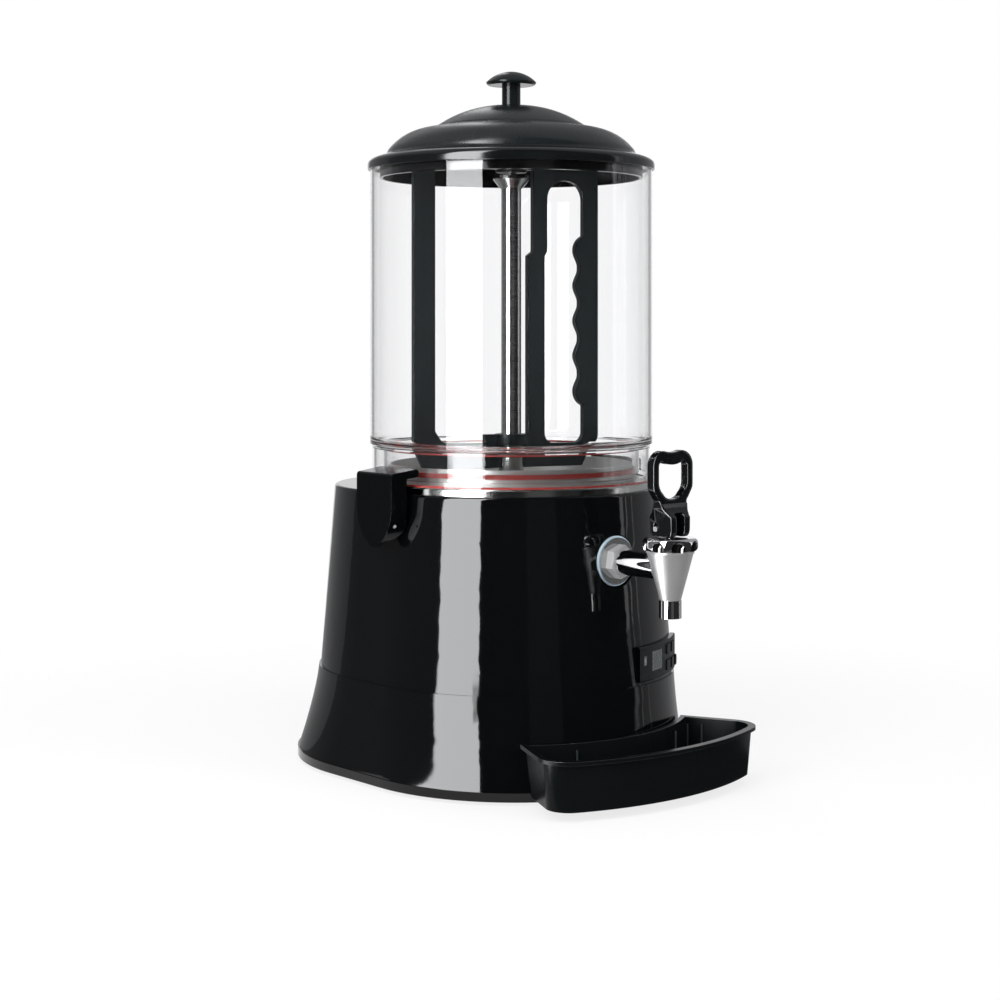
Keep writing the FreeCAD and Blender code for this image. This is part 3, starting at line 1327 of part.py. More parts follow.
def make_tap_body():
    """Cone and spout turned about the tap's own axis, with the shank let in from the rear."""
    body = turned("tap_body", [
        ("seat_hole_radius", "seat_level - 3"), ("spout_bore", "seat_level - 3 - spout_bore / 2"),
        ("spout_bore", "spout_bottom"), ("spout_radius", "spout_bottom"),
        ("spout_radius", "cone_bottom_level"), ("cone_bottom_radius", "cone_bottom_level"),
        ("cone_top_radius", "cone_top_level - cone_lip_height"),
        ("cone_top_radius + cone_lip", "cone_top_level - cone_lip_height"),
        ("cone_top_radius + cone_lip", "cone_top_level"),
        ("neck_radius", "cone_top_level"), ("neck_radius", "neck_top"),
        ("neck_radius - tap_wall", "neck_top"), ("neck_radius - tap_wall", "cone_top_level - 2"),
        ("chamber_floor_radius", "seat_level"), ("seat_hole_radius", "seat_level")], y="-tap_axis")
    shank = new_sketch(body, "XZ_Plane", offset="tap_shank_start - tap_axis")
    circle(shank, "tap_shank_radius", "0", "tap_level")
    pad(body, shank, "tap_axis - tap_shank_start - chamber_floor_radius - 1.5")
    socket = new_sketch(body, "XZ_Plane", offset="tap_shank_start - tap_axis - 1")
    circle(socket, "outlet_radius + pin_gap", "0", "tap_level")
    pocket(body, socket, "outlet_reach - tap_shank_start + 1 + run_gap", reverse=True)
    bore = new_sketch(body, "XZ_Plane", offset="tap_shank_start - tap_axis - 1")
    circle(bore, "outlet_bore", "0", "tap_level")
    pocket(body, bore, "tap_axis - tap_shank_start + 1", reverse=True)


def make_bonnet():
    """The screwed collar over the neck: rounded above and below, with round-topped finger scoops."""
    under = "cone_top_level + bonnet_under_rise"
    body = turned("tap_bonnet", [
        ("stem_radius + pin_gap", "neck_top + pin_gap"), ("neck_radius + pin_gap", "neck_top + pin_gap"),
        ("neck_radius + pin_gap", "cone_top_level"),
        ("bonnet_radius - bonnet_under_width", "cone_top_level", "bonnet_under_rise", -1),
        ("bonnet_radius", under), ("bonnet_radius", "bonnet_top - bonnet_edge", "bonnet_edge", -1),
        ("bonnet_radius - bonnet_edge", "bonnet_top"), ("stem_radius + pin_gap", "bonnet_top")],
        y="-tap_axis", turn="bonnet_turn")
    scoop = new_sketch(body, "XZ_Plane", shift="bonnet_radius + bonnet_flute_radius - bonnet_flute_depth")
    bottom, top = "cone_top_level - 1", "bonnet_top - bonnet_flute_drop"
    outline(scoop, [
        ("0", bottom), ("bonnet_flute_radius", bottom),
        ("bonnet_flute_radius", f"{top} - bonnet_flute_radius", "bonnet_flute_radius", -1), ("0", top)])
    pattern_around(body, turn_about(body, scoop, kind="Groove"), "bonnet_flutes")


def make_stem():
    """Valve stem: a rod with a flat head that carries the handle's pin, and the cup it lifts."""
    body = new_body("valve_stem", y="-tap_axis")
    rod = new_sketch(body, offset="seat_level + 1")
    circle(rod, "stem_radius")
    pad(body, rod, "handle_bottom + 1 - seat_level - 1")
    head = new_sketch(body, "YZ_Plane")
    low, high = "handle_bottom", "handle_pin_level + stem_head_width"
    outline(head, [("-stem_radius", low), ("handle_pin_offset + stem_head_width / 2", low),
                   ("handle_pin_offset + stem_head_width / 2", high),
                   ("handle_pin_offset - stem_head_width / 2", high), ("-stem_radius", "handle_pin_level")])
    pad(body, head, "stem_head_width", both=True)
    hole = new_sketch(body, "YZ_Plane")
    circle(hole, "handle_pin_radius + pin_gap", "handle_pin_offset", "handle_pin_level")
    pocket(body, hole, "stem_head_width * 2", both=True)
    turned("seat_cup", [
        ("0", "seat_level"), ("seat_cup_radius - 2", "seat_level"), ("seat_cup_radius", "seat_level + 2"),
        ("seat_cup_radius", "seat_level + seat_cup_height"),
        ("stem_radius + pin_gap", "seat_level + seat_cup_height"),
        ("stem_radius + pin_gap", "seat_level + 1"), ("0", "seat_level + 1")], y="-tap_axis")
    wire, coil = value("spring_wire"), value("spring_radius")
    half = wire / 2
    bottom = value("seat_level + seat_cup_height + pin_gap * 2") + half
    height = value("neck_top") - half - bottom
    path = Part.makeLongHelix(height / value("spring_turns"), height, coil)
    start = Part.makePolygon([
        Vector(coil + x * half, 0, z * half) for x, z in ((-1, -1), (1, -1), (1, 1), (-1, 1), (-1, -1))])
    coil_shape = Part.Wire(path.Edges).makePipeShell([start], True, True)
    coil_shape.translate(Vector(0, -value("tap_axis"), bottom))
    group("tap_spring", coil_shape)


def make_handle():
    """Lever handle: a block round the stem's head, sloping shoulders and a finger loop."""
    body = new_body("tap_handle", y="-tap_axis")
    loop = new_sketch(body, "XZ_Plane")
    wide, top = "handle_loop_width / 2", "handle_loop_top"
    neck, crown, base = "handle_neck_width / 2", "handle_crown_round", "handle_shoulder - 2"
    foot = "handle_width / 2"
    outline(loop, [
        (f"-({foot})", base), (foot, base), (neck, "handle_shoulder + handle_neck_rise", "handle_shoulder_arc", -1),
        (wide, "handle_hip_level"), (wide, f"{top} - {crown}", crown, -1),
        (f"{wide} - {crown}", top, "handle_dip_arc", 1), (f"-({wide} - {crown})", top, crown, -1),
        (f"-({wide})", f"{top} - {crown}"), (f"-({wide})", "handle_hip_level", "handle_shoulder_arc", -1),
        (f"-({neck})", "handle_shoulder + handle_neck_rise")])
    eye, inner = f"({wide} - handle_side_bar)", "handle_eye_round"
    low, high = "handle_loop_bottom", f"({top} - handle_top_bar)"
    sag, toe = f"({eye} - {inner})", f"({eye} - handle_eye_taper)"
    outline(loop, [
        (f"-{toe}", f"{low} + handle_eye_dip", f"({toe} ^ 2 + handle_eye_dip ^ 2) / (2 * handle_eye_dip)", -1),
        (toe, f"{low} + handle_eye_dip", "handle_shoulder_arc", -1),
        (eye, "handle_hip_level + 1"), (eye, f"{high} - {inner}", inner, -1),
        (sag, high, f"({sag} ^ 2 + handle_grip_sag ^ 2) / (2 * handle_grip_sag)", 1),
        (f"-{sag}", high, inner, -1), (f"-{eye}", f"{high} - {inner}"),
        (f"-{eye}", "handle_hip_level + 1", "handle_shoulder_arc", -1)])
    pad(body, loop, "handle_loop_depth", both=True)
    depth = "handle_depth / 2"
    block = new_sketch(body, "YZ_Plane")
    front, rear = f"-({depth}) + handle_block_shift", f"{depth} + handle_block_shift"
    foot = "handle_foot_round"
    slope_low, slope_top = "handle_shoulder - handle_slope_drop", "handle_shoulder + handle_slope_rise"
    near = "(handle_loop_depth / 2 - 0.5)"
    outline(block, [
        (f"{front} + {foot}", "handle_bottom"), (f"{rear} - 2", "handle_bottom"), (rear, "handle_bottom + 2"),
        (rear, slope_low, "handle_slope_arc", 1), (near, slope_top),
        (f"-{near}", slope_top, "handle_slope_arc", 1), (front, slope_low),
        (front, f"handle_bottom + {foot}", foot, -1)])
    pad(body, block, "handle_width", both=True)
    slot = new_sketch(body, "XZ_Plane", offset="-(handle_pin_offset + stem_head_width / 2 + handle_slot_gap)")
    outline(slot, [
        ("-handle_slot / 2", "handle_bottom - 1"), ("handle_slot / 2", "handle_bottom - 1"),
        ("handle_slot / 2", "handle_slot_top"), ("-handle_slot / 2", "handle_slot_top")])
    pocket(body, slot, "handle_depth * 2", reverse=True)
    hole = new_sketch(body, "YZ_Plane")
    circle(hole, "handle_pin_radius + pin_gap", "handle_pin_offset", "handle_pin_level")
    pocket(body, hole, "handle_width * 2", both=True)
    pin = new_body("handle_pin", y="-tap_axis")
    rod = new_sketch(pin, "YZ_Plane")
    circle(rod, "handle_pin_radius", "handle_pin_offset", "handle_pin_level")
    pad(pin, rod, "handle_width + 1", both=True)


def make_tap():
    make_tap_body()
    make_bonnet()
    make_stem()
    make_handle()
    hole = "tap_shank_radius + pin_gap"
    ring_about_y("tap_seal_ring", hole, "seal_ring_radius", "spot_face", "seal_ring_thickness")
    ring_about_y("tap_washer", hole, "washer_radius", "washer_back", "washer_thickness")
    nut_about_y("tap_nut", "hex_nut_flats", hole, "nut_back", "hex_nut_thickness", "hex_nut_turn")
    nut_about_y("tap_lock_nut", "lock_nut_flats", hole,
                "spot_face - boss_depth - lock_nut_thickness", "lock_nut_thickness")


# ---------------------------------------------------------------- control panel

PANEL_OPENINGS = (
    ("display_angle", "display_level", "display_width", "display_height", "pin_gap"),
    ("lamp_angle", "lamp_level", "lamp_width", "lamp_height", "pin_gap"),
    ("key_angle_near", "key_level_high", "key_size", "key_size", "run_gap"),
    ("key_angle_near", "key_level_low", "key_size", "key_size", "run_gap"),
    ("key_angle_far", "key_level_high", "key_size", "key_size", "run_gap"),
    ("key_angle_far", "key_level_low", "key_size", "key_size", "run_gap"),
)


def make_bezel():
    """A curved cover on the housing's front, turned through part of a circle about the flank's centre."""
    body = new_body("panel_bezel", y="panel_centre", turn="panel_middle - 90")
    section = new_sketch(body, "XZ_Plane", swing="-panel_spread / 2")
    back_low = "housing_seam_radius - (panel_bottom - seam_level) * housing_slope + panel_gap"
    back_high = "housing_seam_radius - (panel_top - seam_level) * housing_slope + panel_gap"
    outline(section, [
        (back_low, "panel_bottom"), ("panel_face - panel_edge", "panel_bottom"),
        ("panel_face", "panel_bottom + panel_edge"), ("panel_face", "panel_top - panel_edge"),
        ("panel_face - panel_edge", "panel_top"), (back_high, "panel_top")])
    sector = turn_about(body, section)
    sector.setExpression(".Angle", linked("panel_spread * 1 deg"))
    for side in ("-1", "1"):
        lug = new_sketch(body, "YZ_Plane", offset="board_place + board_thickness")
        rectangle(lug, "lug_width", "lug_height", f"{side} * (panel_window_half - lug_inset)",
                  "panel_window_level + lug_rise")
        pad(body, lug, "panel_face - lug_sink - board_place - board_thickness")
    for angle, level, width, height, gap in PANEL_OPENINGS:
        opening = new_sketch(body, "YZ_Plane", swing=f"{angle} - panel_middle")
        rectangle(opening, f"{width} + {gap} * 2", f"{height} + {gap} * 2", "0", level)
        pocket(body, opening, "panel_face * 2", reverse=True)
    opening = new_sketch(body, "YZ_Plane", swing="power_key_angle - panel_middle")
    circle(opening, "power_key_radius + run_gap", "0", "power_key_level")
    pocket(body, opening, "panel_face * 2", reverse=True)


def make_panel_pane(name, angle, level, width, height):
    """A window plate let into the bezel, slightly below its face."""
    body = new_body(name, y="panel_centre", turn=f"{angle} - 90")
    sketch = new_sketch(body, "YZ_Plane", offset="panel_face - pane_sink - pane_thickness")
    rectangle(sketch, width, height, "0", level)
    pad(body, sketch, "pane_thickness")


def make_key(name, angle, level):
    """A square push key with a wider base behind the bezel."""
    body = new_body(name, y="panel_centre", turn=f"{angle} - 90")
    base = new_sketch(body, "YZ_Plane", offset="key_seat")
    rectangle(base, "key_base", "key_base", "0", level)
    pad(body, base, "key_base_thickness")
    cap = new_sketch(body, "YZ_Plane", offset="key_seat")
    rectangle(cap, "key_size", "key_size", "0", level)
    pad(body, cap, "panel_face + key_proud - key_seat")


def make_power_key():
    body = new_body("key_power", y="panel_centre", turn="power_key_angle - 90")
    base = new_sketch(body, "YZ_Plane", offset="key_seat")
    circle(base, "power_key_radius + power_key_flange", "0", "power_key_level")
    pad(body, base, "key_base_thickness")
    cap = new_sketch(body, "YZ_Plane", offset="key_seat")
    circle(cap, "power_key_radius", "0", "power_key_level")
    pad(body, cap, "panel_face + key_proud * 1.6 - key_seat")
    doc.recompute()
    fillet(body, "key_proud", lambda edge: edge.BoundBox.XMin > value("panel_face + key_proud * 1.6") - 0.01)


def make_panel():
    make_bezel()
    make_panel_pane("display_window", "display_angle", "display_level", "display_width", "display_height")
    make_panel_pane("indicator_lens", "lamp_angle", "lamp_level", "lamp_width", "lamp_height")
    make_key("key_up", "key_angle_near", "key_level_high")
    make_key("key_down", "key_angle_near", "key_level_low")
    make_key("key_set", "key_angle_far", "key_level_high")
    make_key("key_mode", "key_angle_far", "key_level_low")
    make_power_key()
    board = new_body("control_board", y="panel_centre", turn="panel_middle - 90")
    sheet = new_sketch(board, "YZ_Plane", offset="board_place")
    rectangle(sheet, "board_width", "board_height", "0", "panel_window_level")
    pad(board, sheet, "board_thickness")
    parts_on_board = new_sketch(board, "YZ_Plane", offset="board_place - chip_height")
    rectangle(parts_on_board, "14", "12", "-board_width / 4", "panel_window_level")
    rectangle(parts_on_board, "9", "18", "board_width / 5", "panel_window_level")
    pad(board, parts_on_board, "chip_height + overlap")


# ---------------------------------------------------------------- drip tray

def tray_outline(sketch, inset, rear):
    """The tray's plan: curved front, tangent corners, leaning sides and a rear that follows the skirt."""
    front, corner = f"(tray_front_arc - ({inset}))", f"(tray_corner_arc - ({inset}))"
    place_in = f"(tray_side_place - ({inset}))"
    place_out = f"sqrt(({rear}) ^ 2 - {place_in} ^ 2)"
    nose, nose_end = f"(tray_turn_x * {front})", f"tray_front_centre + tray_turn_y * {front}"
    side, side_end = f"(tray_corner_x + {corner} * tray_lean_cos)", f"tray_corner_y + {corner} * tray_lean_sin"
    back = f"({place_in} * tray_lean_cos + {place_out} * tray_lean_sin)"
    back_end = f"{place_in} * tray_lean_sin - {place_out} * tray_lean_cos"
    outline(sketch, [
        (f"-{nose}", nose_end, front, -1), (nose, nose_end, corner, -1),
        (side, side_end), (back, back_end, rear, 1), (f"-{back}", back_end),
        (f"-{side}", side_end, corner, -1)])


def make_tray():
    body = new_body("drip_tray")
    under_lip = "tray_rim - tray_lip_thickness"
    wall_rear = "tray_rear_radius + tray_lip / 2"
    outer, inner = [], []
    for level, inset, rear in (("tray_bottom", "tray_lip + tray_draft", f"{wall_rear} + tray_rear_lean"),
                               (under_lip, "tray_lip", wall_rear)):
        section = new_sketch(body, offset=level)
        tray_outline(section, inset, rear)
        outer.append(section)
    loft(body, outer)
    lip = new_sketch(body, offset=under_lip)
    tray_outline(lip, "0", "tray_rear_radius")
    pad(body, lip, "tray_lip_thickness")
    for level, inset, rear in (("tray_bottom + tray_wall", "tray_lip + tray_draft + tray_wall",
                                f"{wall_rear} + tray_rear_lean + tray_wall"),
                               ("tray_rim", "tray_lip + tray_wall", f"{wall_rear} + tray_wall")):
        section = new_sketch(body, offset=level)
        tray_outline(section, inset, rear)
        inner.append(section)
    loft(body, inner, "SubtractiveLoft")
    tabs = new_sketch(body, "XZ_Plane", offset="tray_tab_start")
    for side in ("-1", "1"):
        rectangle(tabs, "tray_tab_width", "tray_tab_height", f"{side} * tray_tab_place",
                  "tray_tab_level + tray_tab_height / 2")
    pad(body, tabs, "tray_tab_depth")


# ---------------------------------------------------------------- cable inlet

def make_inlet():
    """The grommet in the rear wall and the block of terminals on the base plate."""
    gland = new_body("cable_gland", z="gland_level")
    section = new_sketch(gland)
    outline(section, [
        ("gland_bore", "gland_face - gland_tail"), ("gland_radius", "gland_face - gland_tail"),
        ("gland_radius", "gland_face"), ("gland_flange", "gland_face"), ("gland_flange", "gland_face + gland_flange_thickness"),
        ("gland_radius - 1", "gland_face + gland_nose"), ("gland_bore", "gland_face + gland_nose")])
    turn_about(gland, section)
    block = new_body("terminal_block", y="terminal_place", z="plate_top")
    base = new_sketch(block)
    rectangle(base, "terminal_block_length", "terminal_block_size")
    pad(block, base, "terminal_block_size")
    wires = new_sketch(block, "XZ_Plane", offset="-terminal_block_size")
    screws = new_sketch(block, offset="terminal_block_size")
    for index in range(4):
        x = f"terminal_block_length * {index} / 4 - terminal_block_length * 3 / 8"
        circle(wires, "terminal_block_size / 7", x, "terminal_block_size * 0.4")
        circle(screws, "terminal_block_size / 6", x, "0")
    pocket(block, wires, "terminal_block_size * 2", reverse=True)
    pocket(block, screws, "terminal_block_size / 3")


# ---------------------------------------------------------------- build and export

make_skirt()
make_housing()
make_base_plate()
make_feet()
make_water_tank()
make_pot()
make_heater()
make_probe()
make_tube()
make_bowl()
make_seals()
make_lid()
make_drive()
make_gearbox()
make_motor()
make_paddle()
make_latch("latch_left", "180")
make_latch("latch_right", "0")
make_latch_mounts()
make_tap()
make_panel()
make_tray()
make_inlet()
doc.recompute()

faults = [f"{thing.Name}: {thing.State}" for thing in doc.Objects
          if "Invalid" in thing.State or "Error" in thing.State]
nodes = [thing for thing in doc.Objects
         if thing.TypeId in ("PartDesign::Body", "Part::Feature")]
for node in nodes:
    if node.Shape.isNull() or not node.Shape.isValid():
        faults.append(f"{node.Label}: the shape is missing or invalid")
if faults:
    raise RuntimeError("; ".join(faults))

os.makedirs("parts", exist_ok=True)
for node in nodes:
    node.Shape.exportStep(f"parts/{node.Label}.step")
print(f"{len(nodes)} sub-parts written")
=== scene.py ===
"""Looks of the hot drink dispenser: gloss black base, clear bowl with its stirring paddle, chromed tap.

Metres, +Z up, the front of the machine towards -Y. Every place and size is read from the frame's own
nodes or stated beside the piece that it shapes.
"""
import json
import math

import bmesh
import bpy
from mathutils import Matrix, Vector
from mathutils.bvhtree import BVHTree


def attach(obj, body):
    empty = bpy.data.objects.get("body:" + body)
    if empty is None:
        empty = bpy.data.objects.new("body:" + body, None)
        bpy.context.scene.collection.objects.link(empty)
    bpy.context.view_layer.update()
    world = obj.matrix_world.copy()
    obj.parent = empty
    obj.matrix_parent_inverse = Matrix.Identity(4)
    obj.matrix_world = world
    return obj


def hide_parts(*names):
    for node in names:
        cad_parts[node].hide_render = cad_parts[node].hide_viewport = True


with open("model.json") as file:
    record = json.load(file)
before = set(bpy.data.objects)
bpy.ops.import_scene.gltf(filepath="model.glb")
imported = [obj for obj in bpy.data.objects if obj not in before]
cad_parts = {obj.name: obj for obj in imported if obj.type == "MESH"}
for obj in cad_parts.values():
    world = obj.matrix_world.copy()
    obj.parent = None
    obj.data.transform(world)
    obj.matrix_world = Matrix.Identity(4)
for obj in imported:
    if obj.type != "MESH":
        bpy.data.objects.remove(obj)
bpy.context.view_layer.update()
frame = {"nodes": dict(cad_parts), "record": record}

NODES = frame["nodes"]
SLOTS = {part["node"]: part["material_slot"] for part in frame["record"]["subparts"]}

TAP_AXIS_Y = -0.1855      # the upright axis of the tap's cone
MIDDLE_HEIGHT = 0.25      # height of the point that lamps and cards face


# ---------------------------------------------------------------- node trees

def start_finish(name):
    """A material with one Principled shader, and its coordinates on the piece's own axes."""
    finish = bpy.data.materials.new(name)
    finish.use_nodes = True
    shader = next(node for node in finish.node_tree.nodes if node.type == "BSDF_PRINCIPLED")
    place = finish.node_tree.nodes.new("ShaderNodeTexCoord")
    return finish, shader, place.outputs["Object"]


def settle(shader, **values):
    """Sets the shader's own sockets; a name's underscores stand for spaces."""
    for socket, amount in values.items():
        shader.inputs[socket.replace("_", " ")].default_value = amount


def step(finish, kind, inputs=(), **settings):
    """One node of a material. Inputs are (socket, number or another node's output)."""
    node = finish.node_tree.nodes.new(kind)
    for setting, choice in settings.items():
        setattr(node, setting, choice)
    for socket, source in inputs:
        if isinstance(source, bpy.types.NodeSocket):
            finish.node_tree.links.new(source, node.inputs[socket])
        else:
            node.inputs[socket].default_value = source
    return node


def speckle(finish, place, scale, detail=2.0, stretch=(1, 1, 1)):
    """Noise over the piece, drawn out where stretch is small."""
    fitted = step(finish, "ShaderNodeMapping", [("Vector", place), ("Scale", stretch)])
    noise = step(finish, "ShaderNodeTexNoise", [
        ("Vector", fitted.outputs["Vector"]), ("Scale", scale), ("Detail", detail)])
    return noise.outputs["Fac"]


def between(finish, amount, low, high, start=0.3, end=0.7):
    """The noise amount carried over to numbers from low to high."""
    ranged = step(finish, "ShaderNodeMapRange", [
        ("Value", amount), ("From Min", start), ("From Max", end), ("To Min", low), ("To Max", high)])
    return ranged.outputs["Result"]


def tint(finish, shader, amount, dark, light):
    """Colour that wanders between two near tones."""
    mixed = step(finish, "ShaderNodeMix", [("Factor", amount), ("A", dark), ("B", light)], data_type="RGBA")
    # the colour sockets of a Mix node are picked by type
    for socket in mixed.inputs:
        if socket.type == "RGBA":
            socket.default_value = dark if socket.name == "A" else light
    colour = next(socket for socket in mixed.outputs if socket.type == "RGBA")
    finish.node_tree.links.new(colour, shader.inputs["Base Color"])


def relief(finish, shader, height, strength, distance):
    """Bump of a strength from 0 to 1 and a depth in metres."""
    bump = step(finish, "ShaderNodeBump", [("Height", height), ("Strength", strength), ("Distance", distance)])
    finish.node_tree.links.new(bump.outputs["Normal"], shader.inputs["Normal"])


def link_roughness(finish, shader, amount):
    """Roughness that follows another node's output."""
    finish.node_tree.links.new(amount, shader.inputs["Roughness"])


# ---------------------------------------------------------------- finishes

def moulded_black(name, rough, peel, tone, shine=0.5, grain=420.0):
    """Black moulded plastic: slow changes of gloss, a faint orange peel and tiny scuffs.
    Rough is its roughness, peel the strength of its orange peel, tone its colour, shine its reflection."""
    finish, shader, place = start_finish(name)
    settle(shader, Specular_IOR_Level=shine)
    cloud = speckle(finish, place, 9.0, 3.0)
    tint(finish, shader, cloud, (tone * 0.8, tone, tone * 1.08, 1), (tone * 1.1, tone * 1.35, tone * 1.45, 1))
    scuff = speckle(finish, place, 60.0, 4.0, (1, 1, 0.12))
    link_roughness(finish, shader, between(finish, scuff, rough * 0.88, rough * 1.15))
    relief(finish, shader, speckle(finish, place, grain, 1.0), peel, 0.0004)
    return finish


def clear_plastic():
    """Clear moulded bowl: hardly visible haze and a very long, shallow wave in its walls."""
    finish, shader, place = start_finish("clear_bowl")
    settle(shader, Base_Color=(0.995, 0.997, 1.0, 1), Transmission_Weight=1.0, IOR=1.33)
    link_roughness(finish, shader, between(finish, speckle(finish, place, 14.0), 0.0, 0.02))
    relief(finish, shader, speckle(finish, place, 9.0, 0.0, (1, 1, 0.2)), 0.004, 0.001)
    return finish


def turned_steel(name, along, low, high, dark=0.5, light=0.68, bare=1.0):
    """Steel with fine lines; along is the stretch that draws them out, bare is how metallic it is."""
    finish, shader, place = start_finish(name)
    lines = speckle(finish, place, 900.0, 3.0, along)
    tint(finish, shader, lines, (dark, dark, dark * 0.98, 1), (light, light, light * 0.975, 1))
    link_roughness(finish, shader, between(finish, lines, low, high))
    relief(finish, shader, lines, 0.05, 0.0001)
    settle(shader, Metallic=bare)
    return finish


def plated(name, colour, low, high, dimple=0.03, bare=1.0):
    """Plated or bare metal with a slight haze here and there."""
    finish, shader, place = start_finish(name)
    haze = speckle(finish, place, 50.0, 4.0)
    tint(finish, shader, haze, tuple(c * 0.93 for c in colour) + (1,), colour + (1,))
    link_roughness(finish, shader, between(finish, haze, low, high))
    relief(finish, shader, speckle(finish, place, 260.0, 2.0), dimple, 0.0002)
    settle(shader, Metallic=bare)
    return finish


def soft_rubber(name, colour):
    """Dull, finely grained rubber or print."""
    finish, shader, place = start_finish(name)
    cloud = speckle(finish, place, 30.0, 3.0)
    tint(finish, shader, cloud, tuple(c * 0.8 for c in colour) + (1,), colour + (1,))
    link_roughness(finish, shader, between(finish, cloud, 0.42, 0.6))
    relief(finish, shader, speckle(finish, place, 600.0, 2.0), 0.15, 0.0002)
    return finish


def dark_glass(name, colour):
    """The display's window: smooth grey glass over a faintly mottled panel."""
    finish, shader, place = start_finish(name)
    cloud = speckle(finish, place, 220.0, 2.0)
    tint(finish, shader, cloud, tuple(c * 0.86 for c in colour) + (1,), colour + (1,))
    link_roughness(finish, shader, between(finish, cloud, 0.12, 0.2))
    return finish


FINISHES = {
    "black_gloss": moulded_black("black_gloss", 0.05, 0.001, 0.0018, 0.32),
    "black_matte": moulded_black("black_matte", 0.4, 0.05, 0.012, 0.25),
    "clear": clear_plastic(),
    "steel": turned_steel("steel_turned", (0.1, 0.1, 1), 0.16, 0.28),
    "chrome": plated("chrome", (0.8, 0.8, 0.81), 0.025, 0.06, 0.01),
    "rubber_black": soft_rubber("rubber_black", (0.02, 0.02, 0.021)),
    "seal_red": soft_rubber("seal_red", (0.44, 0.035, 0.025)),
    "seal_pale": soft_rubber("seal_pale", (0.52, 0.66, 0.76)),
    "display": dark_glass("display_glass", (0.075, 0.082, 0.084)),
    "zinc": plated("zinc_plate", (0.52, 0.53, 0.55), 0.28, 0.45),
    "nylon": soft_rubber("nylon", (0.78, 0.76, 0.68)),
    "board": soft_rubber("circuit_board", (0.03, 0.16, 0.07)),
    "brass": plated("brass", (0.72, 0.52, 0.24), 0.18, 0.3),
    "aluminium": plated("aluminium_cast", (0.6, 0.61, 0.63), 0.3, 0.5),
}
LID_BLACK = moulded_black("lid_satin", 0.27, 0.012, 0.008, 0.5, 900.0)
LID_RIM = moulded_black("lid_rim_gloss", 0.13, 0.004, 0.004, 0.4)
KNOB_BLACK = moulded_black("knob_satin", 0.2, 0.01, 0.008, 0.2)
TRAY_BLACK = moulded_black("tray_satin", 0.22, 0.01, 0.004, 0.07)
LATCH_BLACK = moulded_black("latch_satin", 0.12, 0.01, 0.0015, 0.15)
# a light grey on black: a painted highlight for the latch's rounded edges
LATCH_PAINTED_HIGHLIGHT = moulded_black("latch_edge_painted_highlight", 0.2, 0.0, 0.3, 0.6)
HANDLE_BLACK = moulded_black("lever_gloss", 0.12, 0.0, 0.003, 0.45)
PADDLE_BLACK = moulded_black("paddle_blue_black", 0.35, 0.03, 0.027, 0.12)
# darker than the paddle's faces: painted shade along the blade's outline
PADDLE_EDGE_SHADE = moulded_black("paddle_edge_painted_shade", 0.2, 0.0, 0.003, 0.2)
PANEL_GREY = moulded_black("panel_grey", 0.4, 0.04, 0.01, 0.15)
PANEL_EDGE = moulded_black("panel_edge", 0.12, 0.0, 0.001, 0.1)
# a lighter, glossier black for rounded edges and ribs: a painted highlight along them
EDGE_PAINTED_HIGHLIGHT = moulded_black("edge_painted_highlight", 0.16, 0.0, 0.03, 0.6)
RIM_STEEL = turned_steel("rim_brushed", (1, 1, 12), 0.1, 0.2, 0.42, 0.58)
TUBE_STEEL = turned_steel("tube_polished", (0.06, 0.06, 1), 0.13, 0.2, 0.44, 0.58)
SATIN_NICKEL = plated("satin_nickel", (0.4, 0.4, 0.395), 0.34, 0.44, 0.04, 0.55)
NUT_SATIN = plated("nut_satin", (0.74, 0.74, 0.74), 0.12, 0.18, 0.02, 0.55)
WASHER_CHROME = plated("washer_chrome", (0.45, 0.45, 0.45), 0.06, 0.1, 0.02, 0.8)
POT_STEEL = turned_steel("pot_satin", (0.1, 0.1, 1), 0.3, 0.42, 0.5, 0.66, 0.6)
PIN_END = soft_rubber("pin_end", (0.28, 0.28, 0.275))
# chrome made darker than the shank's: painted shade on the spout
SPOUT_PAINTED_SHADE = plated("spout_painted_shade", (0.62, 0.62, 0.62), 0.03, 0.07, 0.01)
# a near-black chrome: painted shade and dark reflection in the bonnet's scoops
SCOOP_PAINTED_SHADE = plated("scoop_painted_shade", (0.13, 0.125, 0.12), 0.04, 0.09, 0.01)
MARKING = soft_rubber("key_marking", (0.36, 0.37, 0.375))
OWN_FINISH = {
    "lid_knob": KNOB_BLACK, "key_up": PANEL_GREY, "key_down": PANEL_GREY, "key_set": PANEL_GREY,
    "key_mode": PANEL_GREY, "key_power": PANEL_EDGE, "water_tank": RIM_STEEL, "centre_tube": TUBE_STEEL,
    "tube_sleeve": TUBE_STEEL, "tube_collar": TUBE_STEEL, "latch_brackets": LATCH_BLACK,
    "latch_pins": PIN_END, "tap_nut": NUT_SATIN, "tap_washer": WASHER_CHROME,
}


def dress_frame():
    """Each node of the frame takes its slot's finish, or its own where it differs."""
    for node, slot in SLOTS.items():
        finished_in(NODES[node], OWN_FINISH.get(node, FINISHES[slot]))


# ---------------------------------------------------------------- pieces

def on_scene(name, mesh):
    """An object at the origin that shows the mesh."""
    piece = bpy.data.objects.new(name, mesh)
    bpy.context.scene.collection.objects.link(piece)
    return piece


def meshed(name, work):
    """The finished bmesh as a mesh, its faces turned outwards."""
    bmesh.ops.recalc_face_normals(work, faces=work.faces)
    mesh = bpy.data.meshes.new(name)
    work.to_mesh(mesh)
    work.free()
    return mesh


